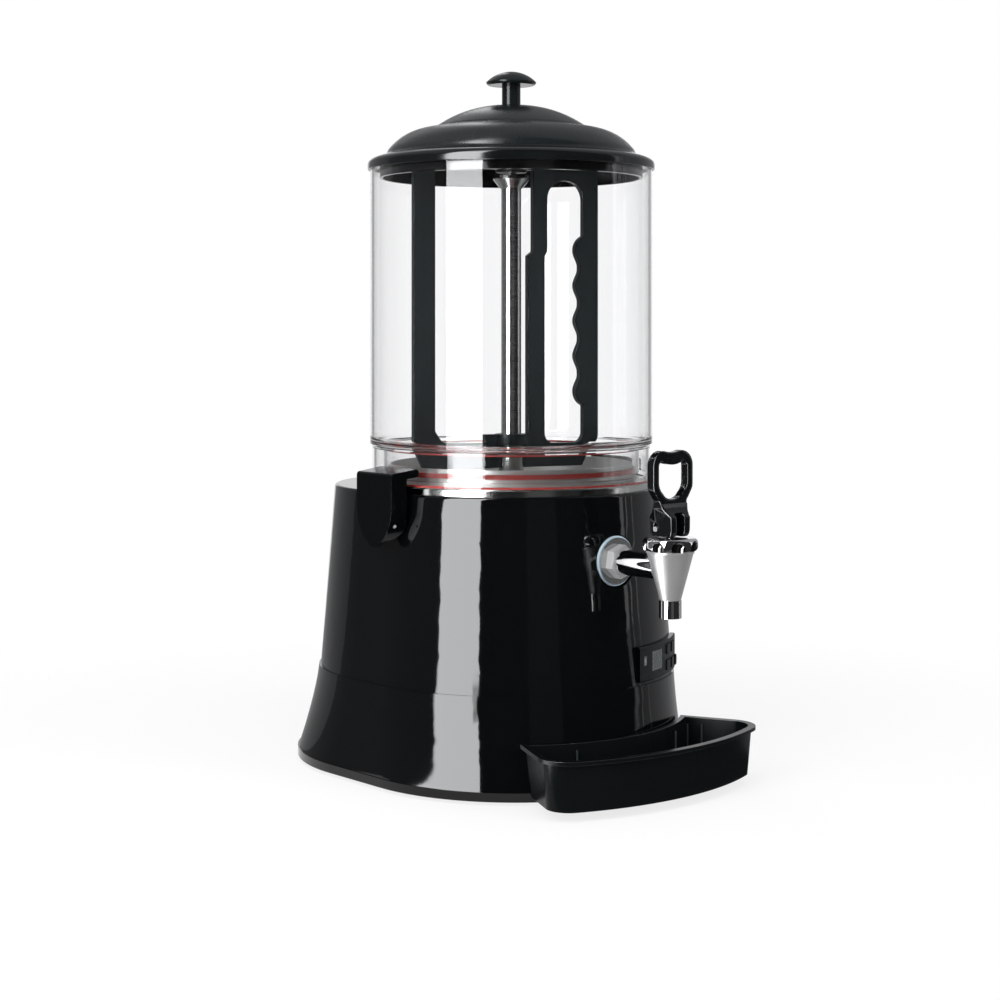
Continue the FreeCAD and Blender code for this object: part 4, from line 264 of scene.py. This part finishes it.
def joined_copy(node, name):
    """A copy of a node's mesh with its loose triangles joined and its flat faces made whole."""
    mesh = NODES[node].data.copy()
    mesh.name = name
    work = bmesh.new()
    work.from_mesh(mesh)
    bmesh.ops.remove_doubles(work, verts=work.verts, dist=2e-6)
    bmesh.ops.dissolve_limit(work, angle_limit=math.radians(0.6), verts=work.verts, edges=work.edges)
    work.to_mesh(mesh)
    work.free()
    if "custom_normal" in mesh.attributes:
        mesh.attributes.remove(mesh.attributes["custom_normal"])
    return on_scene(name, mesh)


def finished_in(piece, *finishes):
    """The piece's finishes, counted from 0 by its faces."""
    piece.data.materials.clear()
    for finish in finishes:
        piece.data.materials.append(finish)


def settle_mesh(piece):
    """The piece's modifiers turned into its plain mesh."""
    made = bpy.data.meshes.new_from_object(piece.evaluated_get(bpy.context.evaluated_depsgraph_get()))
    piece.modifiers.clear()
    piece.data = made


def shade(piece, angle=32):
    """Smooth shading, with edges kept sharp from an angle in degrees."""
    piece.data.shade_smooth()
    piece.data.set_sharp_from_angle(angle=math.radians(angle))


def stands_for(piece, node, body):
    """The piece takes the node's place and its body's motion."""
    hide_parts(node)
    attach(piece, body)


def round_edges(piece, width, angle=35, edge_slot=-1):
    """Sharp edges rounded to a width; their new faces take the finish in edge_slot."""
    rounding = piece.modifiers.new("edge_rounding", "BEVEL")
    rounding.limit_method, rounding.angle_limit = "ANGLE", math.radians(angle)
    rounding.width, rounding.segments = width, 2
    rounding.material = edge_slot
    rounding.harden_normals = True
    shade(piece)
    settle_mesh(piece)


def make_latches():
    """Latch shells whose rounded edges take a light finish: a painted highlight along their outline."""
    for side in ("left", "right"):
        shell = joined_copy(f"latch_{side}", f"{side}_latch_shell")
        finished_in(shell, LATCH_BLACK, LATCH_PAINTED_HIGHLIGHT)
        round_edges(shell, 0.0007, 40, 1)
        stands_for(shell, f"latch_{side}", f"{side}_latch")


def make_lever_handle():
    """The tap's lever, rounded all over as a thick moulded grip is."""
    handle = joined_copy("tap_handle", "lever_handle")
    # the neck is broad: (height above the fork's foot, widening)
    waist = [(0, 1.12), (0.012, 1.15), (0.018, 1.6), (0.021, 1.65),
             (0.024, 1.24), (0.027, 1.08), (0.031, 1.0), (1, 1.0)]
    # and the fork's cheeks reach up it: they are drawn out by a share of their height, which fades above them
    fork_foot, cheek, share, cheek_lift, fade = 0.206, 0.019, 0.3, 0.0057, 0.018
    for point in handle.data.vertices:
        above = point.co.z - fork_foot
        for (low, narrow), (high, wide) in zip(waist, waist[1:]):
            if low <= above < high:
                point.co.x *= narrow + (wide - narrow) * (above - low) / (high - low)
        point.co.z += share * above if above < cheek else cheek_lift * max(0.0, 1 - (above - cheek) / fade)
    skin = handle.modifiers.new("even_skin", "REMESH")
    skin.mode, skin.voxel_size, skin.use_smooth_shade = "VOXEL", 0.0006, True
    soft = handle.modifiers.new("soft_edges", "SMOOTH")
    soft.factor, soft.iterations = 0.5, 11
    settle_mesh(handle)
    finished_in(handle, HANDLE_BLACK)
    handle.data.shade_smooth()
    stands_for(handle, "tap_handle", "tap_lever")
    pin = joined_copy("handle_pin", "lever_pin")
    # long enough for the broader fork
    for point in pin.data.vertices:
        point.co.x *= 1.18
    finished_in(pin, SATIN_NICKEL)
    round_edges(pin, 0.0003)
    stands_for(pin, "handle_pin", "tap_lever")


def make_tray():
    """The drip tray; its rounded lip takes a lighter finish, a painted highlight along it."""
    shell = joined_copy("drip_tray", "tray_shell")
    # the bevel faces take the lighter finish: a painted highlight along the lip
    finished_in(shell, TRAY_BLACK, EDGE_PAINTED_HIGHLIGHT)
    round_edges(shell, 0.0006, 38, 1)
    stands_for(shell, "drip_tray", "tray")


def make_panel():
    """The key panel's cover: grey face, black edges."""
    cover = joined_copy("panel_bezel", "panel_cover")
    finished_in(cover, PANEL_GREY, PANEL_EDGE)
    round_edges(cover, 0.0004, 40, 1)
    # the cover bows about an upright axis; what does not face away from it is edge
    bow_axis_y = -0.02
    for face in cover.data.polygons:
        outward = Vector((face.center.x, face.center.y - bow_axis_y, 0)).normalized()
        if face.normal.dot(outward) < 0.6:
            face.material_index = 1
    stands_for(cover, "panel_bezel", "machine")


def make_tap_shell():
    """The tap's cone is satin; its shank and spout are polished, the spout in a darker chrome that is painted
    shade.
    """
    shell = joined_copy("tap_body", "tap_shell")
    finished_in(shell, SATIN_NICKEL, FINISHES["chrome"], SPOUT_PAINTED_SHADE)
    spout_top, cone_radius = 0.1575, 0.0187
    for face in shell.data.polygons:
        from_axis = math.hypot(face.center.x, face.center.y - TAP_AXIS_Y)
        # the spout's faces take the darker chrome: painted shade
        if face.center.z < spout_top:
            face.material_index = 2
        elif from_axis > cone_radius:
            face.material_index = 1
    round_edges(shell, 0.0003)
    stands_for(shell, "tap_body", "machine")


def make_bonnet():
    """The tap's bonnet; its finger scoops take a dark chrome, painted shade in these hollows."""
    shell = joined_copy("tap_bonnet", "bonnet_shell")
    finished_in(shell, FINISHES["chrome"], SCOOP_PAINTED_SHADE)
    scoop_depth, land_radius, scoop_foot = 0.0165, 0.0203, 0.1955
    for face in shell.data.polygons:
        from_axis = math.hypot(face.center.x, face.center.y - TAP_AXIS_Y)
        in_scoop = scoop_depth < from_axis < land_radius and face.center.z > scoop_foot
        # faces in the scoops take the dark chrome: painted shade
        if in_scoop and abs(face.normal.z) < 0.62:
            face.material_index = 1
    shade(shell)
    stands_for(shell, "tap_bonnet", "machine")


def make_paddle_blade():
    """The stirring paddle with its wavy inner edge drawn out into one running curve."""
    blade = joined_copy("paddle", "paddle_blade")
    bearing = math.radians(-16.1)
    along = Vector((math.cos(bearing), math.sin(bearing), 0))
    plain, inner, first, last, margin = 0.0665, 0.0575, 0.312, 0.4312, 0.0126
    pitch, mean_depth, swing, run_out = 0.0298, 0.0055, 0.0023, 0.94
    for point in blade.data.vertices:
        reach = point.co.dot(along)
        if not (inner < reach < plain + 0.0002 and first - margin < point.co.z < last + margin):
            continue
        if first <= point.co.z <= last:
            depth = mean_depth + swing * math.cos(2 * math.pi * (point.co.z - first) / pitch)
        else:
            depth = (plain - reach) * run_out
        point.co += along * (plain - depth - reach)
    # the rounded edges take the darker finish: painted shade along the outline
    finished_in(blade, PADDLE_BLACK, PADDLE_EDGE_SHADE)
    round_edges(blade, 0.0009, 30, 1)
    stands_for(blade, "paddle", "paddle_drive")


def flattened(piece, foot, share):
    """What stands above the foot keeps only a share of its height."""
    for point in piece.data.vertices:
        if point.co.z > foot:
            point.co.z = foot + (point.co.z - foot) * share


def make_pot_shell():
    """The steel pot, its collar kept low so that the paddle's feet are seen above the red ring."""
    shell = joined_copy("product_pot", "pot_shell")
    flattened(shell, 0.24, 0.55)
    finished_in(shell, POT_STEEL)
    shade(shell)
    stands_for(shell, "product_pot", "machine")


def make_gasket():
    """The red ring on which the bowl sits; squeezed flat by the latches."""
    ring = joined_copy("bowl_gasket", "gasket_ring")
    flattened(ring, 0.2465, 0.5)
    finished_in(ring, FINISHES["seal_red"])
    shade(ring)
    stands_for(ring, "bowl_gasket", "machine")


def bowed(start, end, bulge, steps):
    """Points from start to end in millimetres, swelling to the left of the way by bulge; the end is left out."""
    run, rise = end[0] - start[0], end[1] - start[1]
    long = math.hypot(run, rise)
    points = []
    for count in range(steps):
        t = count / steps
        points.append((start[0] + run * t - rise / long * bulge * 4 * t * (1 - t),
                       start[1] + rise * t + run / long * bulge * 4 * t * (1 - t)))
    return points


def spun(name, outline, turns=144):
    """A closed outline of (radius, height) in millimetres, spun about the upright axis."""
    work = bmesh.new()
    rings = [[work.verts.new((radius * math.cos(2 * math.pi * turn / turns) / 1000,
                              radius * math.sin(2 * math.pi * turn / turns) / 1000, height / 1000))
              for turn in range(turns)] for radius, height in outline]
    for here, there in zip(rings, rings[1:] + rings[:1]):
        for turn in range(turns):
            after = (turn + 1) % turns
            work.faces.new((here[turn], here[after], there[after], there[turn]))
    return on_scene(name, meshed(name, work))


def make_lid_dome():
    """The two-stage lid: beaded rim, narrow ledge, lower dome, step, upper dome."""
    outline = [(107.4, 490.2), (110.0, 490.2), (110.0, 498.6), (118.3, 498.6), (118.3, 497.0), (119.3, 497.0),
               (119.8, 497.3), (120.0, 497.9), (120.0, 501.6), (119.8, 502.8), (119.2, 503.9), (118.2, 504.9)]
    outline += bowed((117.0, 505.8), (106.8, 509.0), -0.3, 4)
    outline += [(106.8, 509.0), (105.3, 509.5), (104.4, 510.4), (103.8, 511.8)]
    outline += bowed((103.0, 513.7), (68.0, 531.9), -4.4, 16)
    outline += [(68.0, 531.9), (65.2, 532.6), (63.9, 532.8), (63.1, 533.3), (62.4, 534.1)]
    outline += bowed((61.2, 534.9), (7.8, 551.5), -4.1, 18)
    outline += [(7.8, 551.5), (4.3, 551.5), (4.3, 548.4)]
    outline += bowed((7.8, 548.4), (60.0, 531.4), 4.0, 12)
    outline += [(60.0, 531.4), (63.0, 529.2)]
    outline += bowed((67.0, 528.6), (100.4, 511.5), 3.8, 12)
    outline += [(100.4, 511.5), (102.4, 506.2), (107.4, 504.6)]
    dome = spun("lid_dome", outline)
    finished_in(dome, LID_BLACK, LID_RIM)
    rim_inside = 0.1045
    for face in dome.data.polygons:
        if math.hypot(face.center.x, face.center.y) > rim_inside:
            face.material_index = 1
    shade(dome, 50)
    stands_for(dome, "lid", "lid")


# ---------------------------------------------------------------- markings

def key_face(node):
    """Middle, right-hand way, upward way and outward way of the face that a finger meets."""
    areas = {}
    for face in NODES[node].data.polygons:
        way = tuple(round(part, 2) for part in face.normal)
        spot, area = areas.get(way, (Vector(), 0.0))
        areas[way] = (spot + face.center * face.area, area + face.area)
    outward = max((way for way in areas if way[1] < -0.2), key=lambda way: areas[way][1])
    middle = areas[outward][0] / areas[outward][1]
    outward = Vector(outward).normalized()
    upward = Vector((0, 0, 1))
    return middle, upward.cross(outward).normalized(), upward, outward


def symbol(name, node, body, outlines, finish):
    """Thin raised plates on a key; outlines are loops of (right, up) in millimetres."""
    middle, right, upward, outward = key_face(node)
    sunk, lift = 0.0001, 0.00004
    work = bmesh.new()
    for outline in outlines:
        back = [work.verts.new(middle + right * x / 1000 + upward * y / 1000 - outward * sunk) for x, y in outline]
        front = [work.verts.new(point.co + outward * (sunk + lift)) for point in back]
        work.faces.new(front)
        work.faces.new(back[::-1])
        for one, two, three, four in zip(back, back[1:] + back[:1], front[1:] + front[:1], front):
            work.faces.new((one, two, three, four))
    plate = on_scene(name, meshed(name, work))
    finished_in(plate, finish)
    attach(plate, body)


def bar(x, y, wide, tall):
    """A rectangle about (x, y)."""
    left, right, low, high = x - wide / 2, x + wide / 2, y - tall / 2, y + tall / 2
    return [(left, low), (right, low), (right, high), (left, high)]


def arc_band(radius, width, start, end, plates):
    """A band along part of a circle, as four-cornered plates."""
    bands = []
    half = width / 2
    for count in range(plates):
        one, two = (math.radians(start + (end - start) * (count + more) / plates) for more in (0, 1))
        bands.append([((radius + out) * math.cos(turn), (radius + out) * math.sin(turn))
                      for turn, out in ((one, -half), (one, half), (two, half), (two, -half))])
    return bands


def mark_panel():
    """Plain symbols on the keys, dim segments in the display and a drop on the lamp."""
    symbol("up_arrow", "key_up", "up_key", [[(-2.4, -1.4), (2.4, -1.4), (0, 2.0)]], MARKING)
    symbol("down_arrow", "key_down", "down_key", [[(-2.4, 1.4), (0, -2.0), (2.4, 1.4)]], MARKING)
    symbol("set_ring", "key_set", "set_key", arc_band(1.9, 0.8, 0, 360, 20), MARKING)
    symbol("mode_bars", "key_mode", "mode_key", [bar(0, y, 4.4, 0.7) for y in (1.5, 0, -1.5)], MARKING)
    ring_and_bar = arc_band(2.1, 0.6, 125, 415, 18) + [bar(0, 1.7, 0.6, 2.2)]
    symbol("power_ring", "key_power", "power_key", ring_and_bar, MARKING)
    dim = moulded_black("display_segment", 0.3, 0.0, 0.045, 0.4)
    symbol("display_segments", "display_window", "machine",
           [bar(x, y, 0.7, 4.6) for x in (-4.9, -1.2, 1.2, 4.9) for y in (-2.9, 2.9)]
           + [bar(x, y, 2.4, 0.7) for x in (-3.05, 3.05) for y in (-5.6, 0, 5.6)], dim)
    lamp = dark_glass("lamp_lens", (0.2, 0.21, 0.215))
    drop = [(0, 3.2), (-0.9, 1.0), (-1.2, -0.8), (-0.7, -2.2), (0.7, -2.2), (1.2, -0.8), (0.9, 1.0)]
    symbol("lamp_drop", "indicator_lens", "machine", [drop, bar(0, -3.0, 1.5, 0.5)], lamp)


# ---------------------------------------------------------------- repeated pieces

def seated_tree(name, radius, height, made):
    """A node tree with named inputs for the seats, a radius and a height, and an output for what is made."""
    tree = bpy.data.node_groups.new(name, "GeometryNodeTree")
    tree.interface.new_socket("Seats", in_out="INPUT", socket_type="NodeSocketGeometry")
    tree.interface.new_socket(radius, in_out="INPUT", socket_type="NodeSocketFloat")
    tree.interface.new_socket(height, in_out="INPUT", socket_type="NodeSocketFloat")
    tree.interface.new_socket(made, in_out="OUTPUT", socket_type="NodeSocketGeometry")
    return tree


def screw_tree(finish):
    """Domed, cross-slotted heads on every seat of a piece, each along the seat's own lean."""
    tree = seated_tree("screw_heads", "Head radius", "Head height", "Heads")
    new, link = tree.nodes.new, tree.links.new
    given, out = new("NodeGroupInput"), new("NodeGroupOutput")
    dome = new("GeometryNodeMeshUVSphere")
    dome.inputs["Segments"].default_value, dome.inputs["Rings"].default_value = 24, 12
    dome.inputs["Radius"].default_value = 1.0
    size, flat = new("ShaderNodeCombineXYZ"), new("GeometryNodeTransform")
    link(given.outputs["Head radius"], size.inputs["X"])
    link(given.outputs["Head radius"], size.inputs["Y"])
    link(given.outputs["Head height"], size.inputs["Z"])
    link(dome.outputs["Mesh"], flat.inputs["Geometry"])
    link(size.outputs[0], flat.inputs["Scale"])
    cut = new("GeometryNodeMeshBoolean")
    cut.operation = "DIFFERENCE"
    link(flat.outputs["Geometry"], cut.inputs["Mesh 1"])
    for turn in (0, 1):
        slot = new("GeometryNodeMeshCube")
        slot.inputs["Size"].default_value = (1.15, 0.26, 0.9) if turn else (0.26, 1.15, 0.9)
        placed = new("GeometryNodeTransform")
        lifted = new("ShaderNodeCombineXYZ")
        link(given.outputs["Head height"], lifted.inputs["Z"])
        link(slot.outputs["Mesh"], placed.inputs["Geometry"])
        link(size.outputs[0], placed.inputs["Scale"])
        link(lifted.outputs[0], placed.inputs["Translation"])
        link(placed.outputs["Geometry"], cut.inputs["Mesh 2"])
    lean, turned = new("GeometryNodeInputNamedAttribute"), new("FunctionNodeAlignRotationToVector")
    put = new("GeometryNodeInstanceOnPoints")
    lean.data_type = "FLOAT_VECTOR"
    lean.inputs["Name"].default_value = "lean"
    turned.axis = "Z"
    link(lean.outputs["Attribute"], turned.inputs["Vector"])
    link(given.outputs["Seats"], put.inputs["Points"])
    link(cut.outputs["Mesh"], put.inputs["Instance"])
    link(turned.outputs["Rotation"], put.inputs["Rotation"])
    whole, coat = new("GeometryNodeRealizeInstances"), new("GeometryNodeSetMaterial")
    coat.inputs["Material"].default_value = finish
    link(put.outputs["Instances"], whole.inputs["Geometry"])
    link(whole.outputs["Geometry"], coat.inputs["Geometry"])
    link(coat.outputs["Geometry"], out.inputs["Heads"])
    return tree


def seats_on(node, starts, way):
    """Where rays from the starting points along way meet a node, and the way its surface faces there."""
    mesh = NODES[node].data
    corners = [point.co for point in mesh.vertices]
    skin = BVHTree.FromPolygons(corners, [tuple(face.vertices) for face in mesh.polygons])
    met = [skin.ray_cast(Vector(start), Vector(way)) for start in starts]
    return [(place, facing) for place, facing, _, _ in met if place]


def fit(name, mesh, tree, sizes, body):
    """The tree's pieces on the mesh's points, as one plain mesh on a body; sizes are by input name."""
    piece = on_scene(name, mesh)
    fitting = piece.modifiers.new("fitting", "NODES")
    fitting.node_group = tree
    for item in tree.interface.items_tree:
        if item.in_out == "INPUT" and item.name in sizes:
            fitting[item.identifier] = sizes[item.name]
    settle_mesh(piece)
    shade(piece, 40)
    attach(piece, body)


def points_mesh(name, seats):
    """A mesh of loose points, one on each seat."""
    mesh = bpy.data.meshes.new(name)
    mesh.from_pydata([place for place, _ in seats], [], [])
    return mesh


def fit_rear_screws():
    """Four screws through the housing's rear wall, their heads square to it."""
    starts = [(x / 1000, 0.3, z / 1000) for x in (-80, 80) for z in (98, 214)]
    seats = seats_on("housing", starts, (0, -1, 0))
    mesh = points_mesh("rear_wall_screws", seats)
    lean = mesh.attributes.new("lean", "FLOAT_VECTOR", "POINT")
    for index, (_, facing) in enumerate(seats):
        lean.data[index].vector = facing
    fit("rear_wall_screws", mesh, screw_tree(FINISHES["zinc"]),
        {"Head radius": 0.0034, "Head height": 0.0017}, "machine")


def rib_tree(finish):
    """Upright half-round ribs on every seat of a piece, of one height and radius."""
    tree = seated_tree("tray_ribs", "Rib radius", "Rib height", "Ribs")
    new, link = tree.nodes.new, tree.links.new
    given, out = new("NodeGroupInput"), new("NodeGroupOutput")
    rod = new("GeometryNodeMeshCylinder")
    rod.inputs["Vertices"].default_value = 16
    link(given.outputs["Rib radius"], rod.inputs["Radius"])
    link(given.outputs["Rib height"], rod.inputs["Depth"])
    put = new("GeometryNodeInstanceOnPoints")
    whole, coat = new("GeometryNodeRealizeInstances"), new("GeometryNodeSetMaterial")
    coat.inputs["Material"].default_value = finish
    link(given.outputs["Seats"], put.inputs["Points"])
    link(rod.outputs["Mesh"], put.inputs["Instance"])
    link(put.outputs["Instances"], whole.inputs["Geometry"])
    link(whole.outputs["Geometry"], coat.inputs["Geometry"])
    link(coat.outputs["Geometry"], out.inputs["Ribs"])
    return tree


def rib_the_tray():
    """Stiffening ribs down the tray's inner rear wall."""
    starts = [(x / 1000, -0.15, 0.026) for x in (-90, -84, -54, 54, 84, 90)]
    seats = seats_on("drip_tray", starts, (0, 1, 0))
    # the ribs take the lighter edge finish: a painted highlight down each rib
    fit("tray_ribs", points_mesh("tray_ribs", seats), rib_tree(EDGE_PAINTED_HIGHLIGHT),
        {"Rib radius": 0.0009, "Rib height": 0.032}, "tray")


def make_pieces():
    """The pieces that stand for a node, then the marks, screws and ribs that are added."""
    make_latches()
    make_lever_handle()
    make_tray()
    make_panel()
    make_tap_shell()
    make_bonnet()
    make_paddle_blade()
    make_pot_shell()
    make_gasket()
    make_lid_dome()
    mark_panel()
    fit_rear_screws()
    rib_the_tray()


# ---------------------------------------------------------------- studio

def seen_directly(tree):
    """1 for the rays of the lens, of mirrors and of clear pieces, which all show the white surroundings."""
    path = tree.nodes.new("ShaderNodeLightPath")
    seen = path.outputs["Is Camera Ray"]
    for ray in ("Is Glossy Ray", "Is Transmission Ray"):
        either = tree.nodes.new("ShaderNodeMath")
        either.operation = "MAXIMUM"
        tree.links.new(seen, either.inputs[0])
        tree.links.new(path.outputs[ray], either.inputs[1])
        seen = either.outputs[0]
    return seen


def light_world():
    """White where it is seen, dim and cool where it lights."""
    world = bpy.data.worlds.new("studio_world")
    bpy.context.scene.world = world
    world.use_nodes = True
    tree = world.node_tree
    tree.nodes.clear()
    dim = tree.nodes.new("ShaderNodeBackground")
    dim.inputs["Color"].default_value = (0.93, 0.96, 1.0, 1)
    dim.inputs["Strength"].default_value = 0.4
    white = tree.nodes.new("ShaderNodeBackground")
    white.inputs["Color"].default_value = (1, 1, 1, 1)
    white.inputs["Strength"].default_value = 1.0
    mix = tree.nodes.new("ShaderNodeMixShader")
    out = tree.nodes.new("ShaderNodeOutputWorld")
    tree.links.new(seen_directly(tree), mix.inputs["Fac"])
    tree.links.new(dim.outputs[0], mix.inputs[1])
    tree.links.new(white.outputs[0], mix.inputs[2])
    tree.links.new(mix.outputs[0], out.inputs["Surface"])


def lay_floor():
    """White paper that keeps the machine's soft shadow and fades into the white round it."""
    mesh = bpy.data.meshes.new("floor")
    corners, radius = 96, 4.0
    turns = [2 * math.pi * count / corners for count in range(corners)]
    mesh.from_pydata([(radius * math.cos(turn), radius * math.sin(turn), 0) for turn in turns],
                     [], [tuple(range(corners))])
    floor = on_scene("floor", mesh)
    finish = bpy.data.materials.new("floor_paper")
    finish.use_nodes = True
    tree = finish.node_tree
    tree.nodes.clear()
    place = tree.nodes.new("ShaderNodeTexCoord")
    reach = tree.nodes.new("ShaderNodeVectorMath")
    reach.operation = "LENGTH"
    fade = tree.nodes.new("ShaderNodeMapRange")
    fade.interpolation_type = "SMOOTHSTEP"
    for socket, amount in (("From Min", 0.25), ("From Max", 0.8), ("To Min", 0.78), ("To Max", 1.0)):
        fade.inputs[socket].default_value = amount
    paper = tree.nodes.new("ShaderNodeBsdfDiffuse")
    paper.inputs["Color"].default_value = (0.88, 0.88, 0.88, 1)
    glow = tree.nodes.new("ShaderNodeEmission")
    glow.inputs["Strength"].default_value = 1.0
    share = tree.nodes.new("ShaderNodeMath")
    share.operation = "MULTIPLY"
    mix = tree.nodes.new("ShaderNodeMixShader")
    out = tree.nodes.new("ShaderNodeOutputMaterial")
    tree.links.new(place.outputs["Object"], reach.inputs[0])
    tree.links.new(reach.outputs["Value"], fade.inputs["Value"])
    tree.links.new(seen_directly(tree), share.inputs[0])
    tree.links.new(fade.outputs["Result"], share.inputs[1])
    tree.links.new(share.outputs[0], mix.inputs["Fac"])
    tree.links.new(paper.outputs[0], mix.inputs[1])
    tree.links.new(glow.outputs[0], mix.inputs[2])
    tree.links.new(mix.outputs[0], out.inputs["Surface"])
    mesh.materials.append(finish)


def softbox(name, azimuth, distance, height, width, tall, power):
    """An area lamp at a bearing in degrees from +X, aimed at the machine's middle.
    The gloss sees the cards below in its stead."""
    lamp = bpy.data.lights.new(name, "AREA")
    lamp.shape = "RECTANGLE"
    lamp.size, lamp.size_y = width, tall
    lamp.energy = power
    holder = bpy.data.objects.new(name, lamp)
    bearing = math.radians(azimuth)
    holder.location = (distance * math.cos(bearing), distance * math.sin(bearing), height)
    aim = Vector((0, 0, MIDDLE_HEIGHT)) - holder.location
    holder.rotation_euler = aim.to_track_quat("-Z", "Y").to_euler()
    bpy.context.scene.collection.objects.link(holder)
    holder.visible_glossy = holder.visible_transmission = False


def card(name, start, end, level, bottom, top=38, distance=2.6):
    """A curved card between two bearings and two elevations in degrees, which only the gloss sees.
    Level is how bright it is: 0 is black felt, 1 is white paper. Its foot runs on over the floor."""
    across = max(2, int(abs(end - start) / 5))
    up = max(2, int(abs(top - bottom)))
    # from the middle down to a millimetre above the floor
    drop = MIDDLE_HEIGHT - 0.001
    points, faces = [], []
    for row in range(up + 1):
        rise = math.radians(bottom + (top - bottom) * row / up)
        for column in range(across + 1):
            bearing = math.radians(start + (end - start) * column / across)
            reach = min(distance, drop / math.sin(-rise)) if rise < 0 else distance
            points.append((reach * math.cos(bearing) * math.cos(rise), reach * math.sin(bearing) * math.cos(rise),
                           MIDDLE_HEIGHT + reach * math.sin(rise)))
            if row and column:
                here = row * (across + 1) + column
                faces.append((here, here - 1, here - across - 2, here - across - 1))
    mesh = bpy.data.meshes.new(name)
    mesh.from_pydata(points, [], faces)
    face = bpy.data.materials.new(name + "_face")
    face.use_nodes = True
    tree = face.node_tree
    tree.nodes.clear()
    glow = tree.nodes.new("ShaderNodeEmission")
    glow.inputs["Color"].default_value = (0.97, 0.985, 1.0, 1)
    glow.inputs["Strength"].default_value = level
    # a ray that met gloss on its way sees the card, also when it came through the bowl; any other passes
    path = tree.nodes.new("ShaderNodeLightPath")
    open_air = tree.nodes.new("ShaderNodeBsdfTransparent")
    mix = tree.nodes.new("ShaderNodeMixShader")
    out = tree.nodes.new("ShaderNodeOutputMaterial")
    tree.links.new(path.outputs["Glossy Depth"], mix.inputs["Fac"])
    tree.links.new(open_air.outputs[0], mix.inputs[1])
    tree.links.new(glow.outputs[0], mix.inputs[2])
    tree.links.new(mix.outputs[0], out.inputs["Surface"])
    mesh.materials.append(face)
    sheet = on_scene(name, mesh)
    sheet.visible_camera = sheet.visible_diffuse = sheet.visible_shadow = False


# cards: name, bearings from and to, level, elevations from and to, distance; the nearer hides the farther
CARDS = [
    ("key_face", 177, 206.5, 18, -50, 50, 2.5),
    ("key_upper_face", 177, 206.5, 11, 50, 62, 2.5),
    ("key_top_face", 178, 204, 5, 62, 76, 2.5),
    ("streak_one", 317.5, 321, 1.6, -20, 30, 2.5),
    ("streak_two", 324, 325, 1.8, -20, 30, 2.5),
    ("streak_three", 331, 332, 1.3, -20, 30, 2.5),
    ("lid_face", 53, 60, 2.2, 30, 52, 2.5),
    ("lid_glow", 60, 78, 0.6, 28, 55, 2.5),
    ("left_rear_card", 72, 118, 0.34, -50),
    ("left_card", 118, 178, 0.16, -50),
    ("front_card", 203, 240, 0.03, -50),
    ("front_grey_card", 240, 262, 0.1, -50),
    ("front_right_card", 262, 318, 0.03, -50),
    ("streak_gap_card", 317, 325, 0.25, -50, 38, 2.55),
    ("right_near_card", 325, 332, 0.35, -50, 38, 2.55),
    ("right_card", 332, 388, 0.4, -50),
    ("upper_rear_card", -50, 110, 0.35, 36, 90, 2.62),
    ("upper_left_card", 110, 178, 0.45, 36, 90, 2.62),
    ("upper_front_card", 178, 310, 0.03, 36, 90, 2.62),
    ("rear_card", 28, 72, 0.3, 22),
]


def light_studio():
    """White world and floor, four soft lamps, and the cards that shape the gloss."""
    light_world()
    lay_floor()
    softbox("key_box", 195, 1.7, 0.75, 0.75, 1.5, 26)
    softbox("fill_box", 285, 2.2, 0.9, 0.8, 1.3, 22)
    softbox("rear_box", 75, 2.2, 1.0, 1.2, 1.2, 16)
    softbox("top_box", 230, 0.9, 1.7, 1.0, 1.0, 12)
    for name, *facts in CARDS:
        card(name, *facts)


def set_camera():
    """Level lens at bowl height, in front and to the left of the machine."""
    heading, reach = math.radians(41.1), 1.650
    lens = bpy.data.cameras.new("front_left_lens")
    lens.sensor_width, lens.lens = 36.0, 70.92
    lens.shift_x, lens.shift_y = -0.0112, -0.175
    lens.clip_start, lens.clip_end = 0.05, 30.0
    camera = bpy.data.objects.new("camera", lens)
    camera.location = (-reach * math.sin(heading), -reach * math.cos(heading), 0.368)
    camera.rotation_euler = (math.pi / 2, 0, -heading)
    bpy.context.scene.collection.objects.link(camera)
    bpy.context.scene.camera = camera


bpy.context.scene.view_settings.view_transform = "Standard"
set_camera()
light_studio()
dress_frame()
make_pieces()
